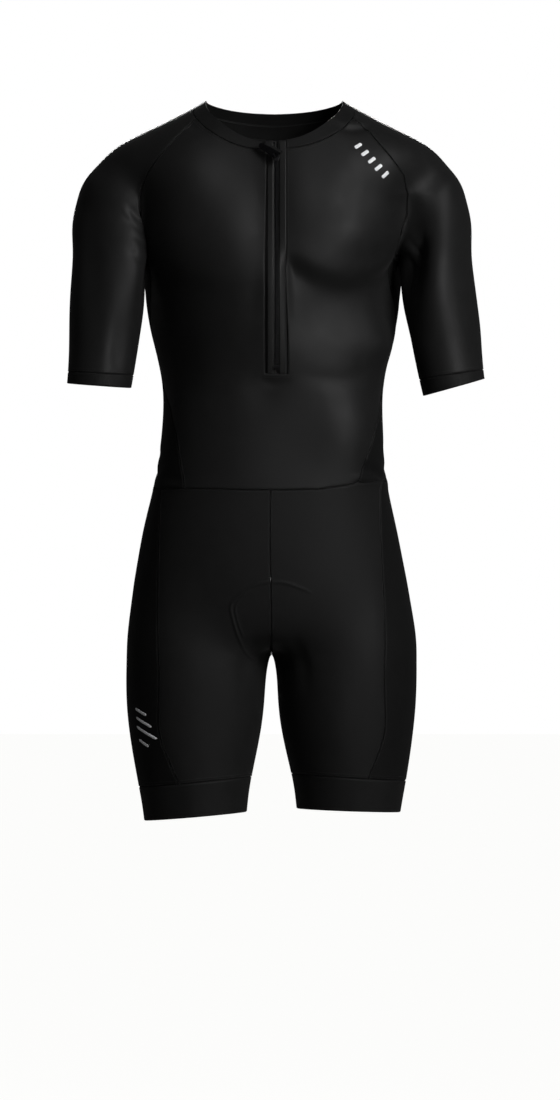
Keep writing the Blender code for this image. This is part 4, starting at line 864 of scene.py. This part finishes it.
# sewing of the zip, in millimetres: rows from the middle line, heights, pitches in metres; bars of dense stitches
zipSewn = {"edge": 14.7, "edgeFoot": -347.2, "cross": -348.4, "top": -57, "edgePitch": 0.0028,
           "welt": 10.3, "weltFoot": -343.5, "weltPitch": 0.0026, "weltStitch": 0.0018, "weltLift": 0.00078,
           "bar": 0.22, "barHalf": 0.75, "barThread": 0.0002}
zipBars = [(1.2, 9.5, -328.2, 0.55), (1.2, 9.5, -338.0, 0.55), (9.6, 13.4, -67.7, 1.55), (-12.6, -9.8, -56.4, 1.35)]


def frontLine(corners):
    line, _ = evenly(np.array([(x, 0, z) for x, z in corners]) * millimetre, millimetre)
    return np.array([frontPoint(x, z)[0] for x, _, z in line])


def zipSewing():
    middle = zipShape["middle"] / millimetre
    parts = []
    for side in (1, -1):
        edge, inner = middle + side * zipSewn["edge"], middle + side * zipSewn["welt"]
        parts.append(dashes(frontLine([(edge, zipSewn["top"]), (edge, zipSewn["edgeFoot"])]), 0.0,
                            zipSewn["edgePitch"]))
        parts.append(dashes(frontLine([(inner, zipSewn["top"]), (inner, zipSewn["weltFoot"])]), 0.0,
                            zipSewn["weltPitch"], zipSewn["weltStitch"], zipSewn["weltLift"]))
    cross = [(middle - zipSewn["edge"], zipSewn["cross"]), (middle + zipSewn["edge"], zipSewn["cross"])]
    parts.append(dashes(frontLine(cross), 0.0, zipSewn["edgePitch"]))
    parts += [bartack(*bar) for bar in zipBars]
    finish(joined("zip_stitching", parts, materials["thread"]))


def bartack(left, right, z, lift):
    # a dense zigzag across a tape: its ends, height and lift
    count = int((right - left) / zipSewn["bar"])
    path = []
    for i in range(count):
        x = left + (right - left) * i / (count - 1)
        swing = zipSewn["barHalf"] if i % 2 else -zipSewn["barHalf"]
        hit, out = frontPoint(x * millimetre, (z + swing) * millimetre)
        path.append(hit + out * lift * millimetre)
    return tubes([path], [[(0, -1, 0)] * count], zipSewn["barThread"])


tapes()
coil()
slider()
pull()
garage()
zipSewing()
nodes["zip_stop"].data.materials.clear()
nodes["zip_stop"].data.materials.append(materials["metal"])
print("zip made")

# the seat pad
# gap to the cloth, depth and width of the quilted channels, how far out the long ones lie, the cross ones' repeat,
# start and narrowness, and how squarely a face looks away from the cloth before it has channels
padShape = {"levels": 2, "clear": 0.0016, "channel": 0.0011, "width": 0.0030, "long": 0.016, "repeat": 0.06,
            "start": 0.02, "narrower": 1.4, "inward": -0.6, "nearest": 4}


def seatPad():
    mesh = welded(nodes["seat_pad"].data)
    squared(mesh)
    pad = smoothObject("seat_pad_cushion", asMesh("seat_pad_cushion", mesh), materials["pad_foam"])
    finer = pad.modifiers.new("finer", "SUBSURF")
    finer.levels = finer.render_levels = padShape["levels"]
    applied(pad)
    moved = surface - points
    kd = KDTree(len(points))
    for i, place in enumerate(points):
        kd.insert(place, i)
    kd.balance()
    for vert in pad.data.vertices:
        near = kd.find_n(vert.co, padShape["nearest"])
        shift = sum((moved[i] for _, i, _ in near), np.zeros(3)) / len(near)
        vert.co += Vector(shift)
        hit, way, _, _ = tree.find_nearest(vert.co)
        away = (vert.co - hit).dot(way)
        if away > -padShape["clear"]:
            vert.co -= way * (away + padShape["clear"])
        if vert.normal.dot(way) < padShape["inward"]:
            cross = (vert.co.y + padShape["start"]) % padShape["repeat"] - padShape["repeat"] / 2
            run = min(abs(abs(vert.co.x) - padShape["long"]), abs(cross) * padShape["narrower"])
            vert.co += way * padShape["channel"] * math.exp(-(run / padShape["width"]) ** 2)
    finish(pad, replaced=["seat_pad"])


seatPad()

# generic marks of print and film: across and up in millimetres, turn in degrees, length and width
chestBars = [(106 + 8.4 * i, -60 - 9.0 * i, 40, 11.0, 4.6) for i in range(5)]
thighBars = [(-165, -764, -14, 24, 3.4), (-161.5, -777, -14, 32, 3.4), (-158.5, -790, -14, 40, 3.4),
             (-161, -803, -14, 20, 3.4)]
# points along and across a bar, roundness of its ends, its lift off the cloth and its thickness
markShape = {"long": 15, "wide": 4, "end": 1.0, "round": 0.85, "least": 0.05, "lift": 0.00018, "film": 0.0001}


def markBar(x, z, angle, length, width):
    place = (x * millimetre, z * millimetre)
    spot, up, _ = frontFrame(*place)
    way = frontPoint(*place)[1]
    side = up.cross(way).normalized()
    turn = math.radians(angle)
    along = (side * math.cos(turn) + up * math.sin(turn)).normalized()
    across = way.cross(along).normalized()
    rows = []
    for a in np.linspace(-1, 1, markShape["long"]):
        inside = max(0, (abs(a) * length / 2 - (length / 2 - markShape["end"])) / markShape["end"])
        narrow = math.sqrt(max(1 - inside**2 * markShape["round"], markShape["least"]))
        row = []
        for b in np.linspace(-1, 1, markShape["wide"]):
            at = spot + along * a * length / 2 * millimetre + across * b * width / 2 * narrow * millimetre
            hit, out, _, _ = tree.find_nearest(at)
            row.append(hit + out * markShape["lift"])
        rows.append(row)
    return np.array(rows).reshape(-1, 3), gridFaces(markShape["long"], markShape["wide"])


def marks(name, bars, material):
    piece = joined(name, [markBar(*bar) for bar in bars], material)
    piece.data.flip_normals()
    thickened(piece, markShape["film"], 1.0)
    finish(piece)


marks("chest_marks", chestBars, materials["print"])
marks("thigh_marks", thighBars, materials["film"])
print("marks made")

# stage, light and camera
stage = {"floor": -1.45, "half": 40.0, "paper": 0.98, "room": 1.0, "ambient": 0.062}
view = {"distance": 14.0, "frameHeight": 1.375, "middle": (0.00875, -0.5625), "sensor": 24.0}
# place, target, size, power and spread in degrees of each soft light
lamps = {
    "key": ((2.4, -2.9, 1.5), (0, 0, -0.35), (1.5, 1.7), 11.6, 50),
    "low_key": ((2.1, -3.0, -0.3), (0, 0, -0.6), (1.0, 1.2), 2.4, 50),
    "fill": ((-2.6, -2.6, 0.4), (0, 0, -0.5), (1.6, 1.6), 2.1, 180),
    "rear": ((0, 4.4, 0.5), (0, 0, -0.45), (1.4, 1.2), 24, 60),
}


def paperLight(tree, bounced, seen):
    # evenly lit paper fills every view, but throws less light back on the black cloth
    path = addNode(tree, "ShaderNodeLightPath", {})
    blend = addNode(tree, "ShaderNodeMapRange", {"Value": path.outputs["Is Camera Ray"], "To Min": bounced,
                                                 "To Max": seen})
    return blend.outputs["Result"]


def addFloor():
    material, tree, shader = newMaterial("pale_studio_paper")
    setInputs(tree, shader, {"Base Color": srgb("8c8c8a"), "Roughness": 0.9, "Emission Color": srgb("fcfcfb"),
                             "Emission Strength": paperLight(tree, 0.0, stage["paper"])})
    half = stage["half"]
    corners = [(x, y, stage["floor"]) for x, y in ((-half, -half), (half, -half), (half, half), (-half, half))]
    meshObject("paper_floor", corners, [(0, 1, 2, 3)], material)


def addRoom():
    world = bpy.data.worlds.new("studio")
    world.use_nodes = True
    tree = world.node_tree
    setInputs(tree, tree.nodes["Background"], {"Color": srgb("ffffff"),
                                               "Strength": paperLight(tree, stage["ambient"], stage["room"])})
    bpy.context.scene.world = world


def addLight(name, place, target, size, power, spread):
    light = bpy.data.lights.new(name, "AREA")
    light.shape, light.size, light.size_y = "RECTANGLE", size[0], size[1]
    light.energy, light.spread = power, math.radians(spread)
    lamp = placed(name, light)
    lamp.location = place
    lamp.rotation_euler = (Vector(target) - Vector(place)).to_track_quat("-Z", "Y").to_euler()


def addCamera():
    camera = bpy.data.cameras.new("camera")
    camera.sensor_fit, camera.sensor_height = "VERTICAL", view["sensor"]
    camera.lens = view["sensor"] * view["distance"] / view["frameHeight"]
    lens = placed("camera", camera)
    lens.location = (view["middle"][0], -view["distance"], view["middle"][1])
    lens.rotation_euler = (math.pi / 2, 0, 0)
    bpy.context.scene.camera = lens


addFloor()
addRoom()
for name, row in lamps.items():
    addLight(name, *row)
addCamera()
bpy.context.scene.view_settings.view_transform = "Standard"
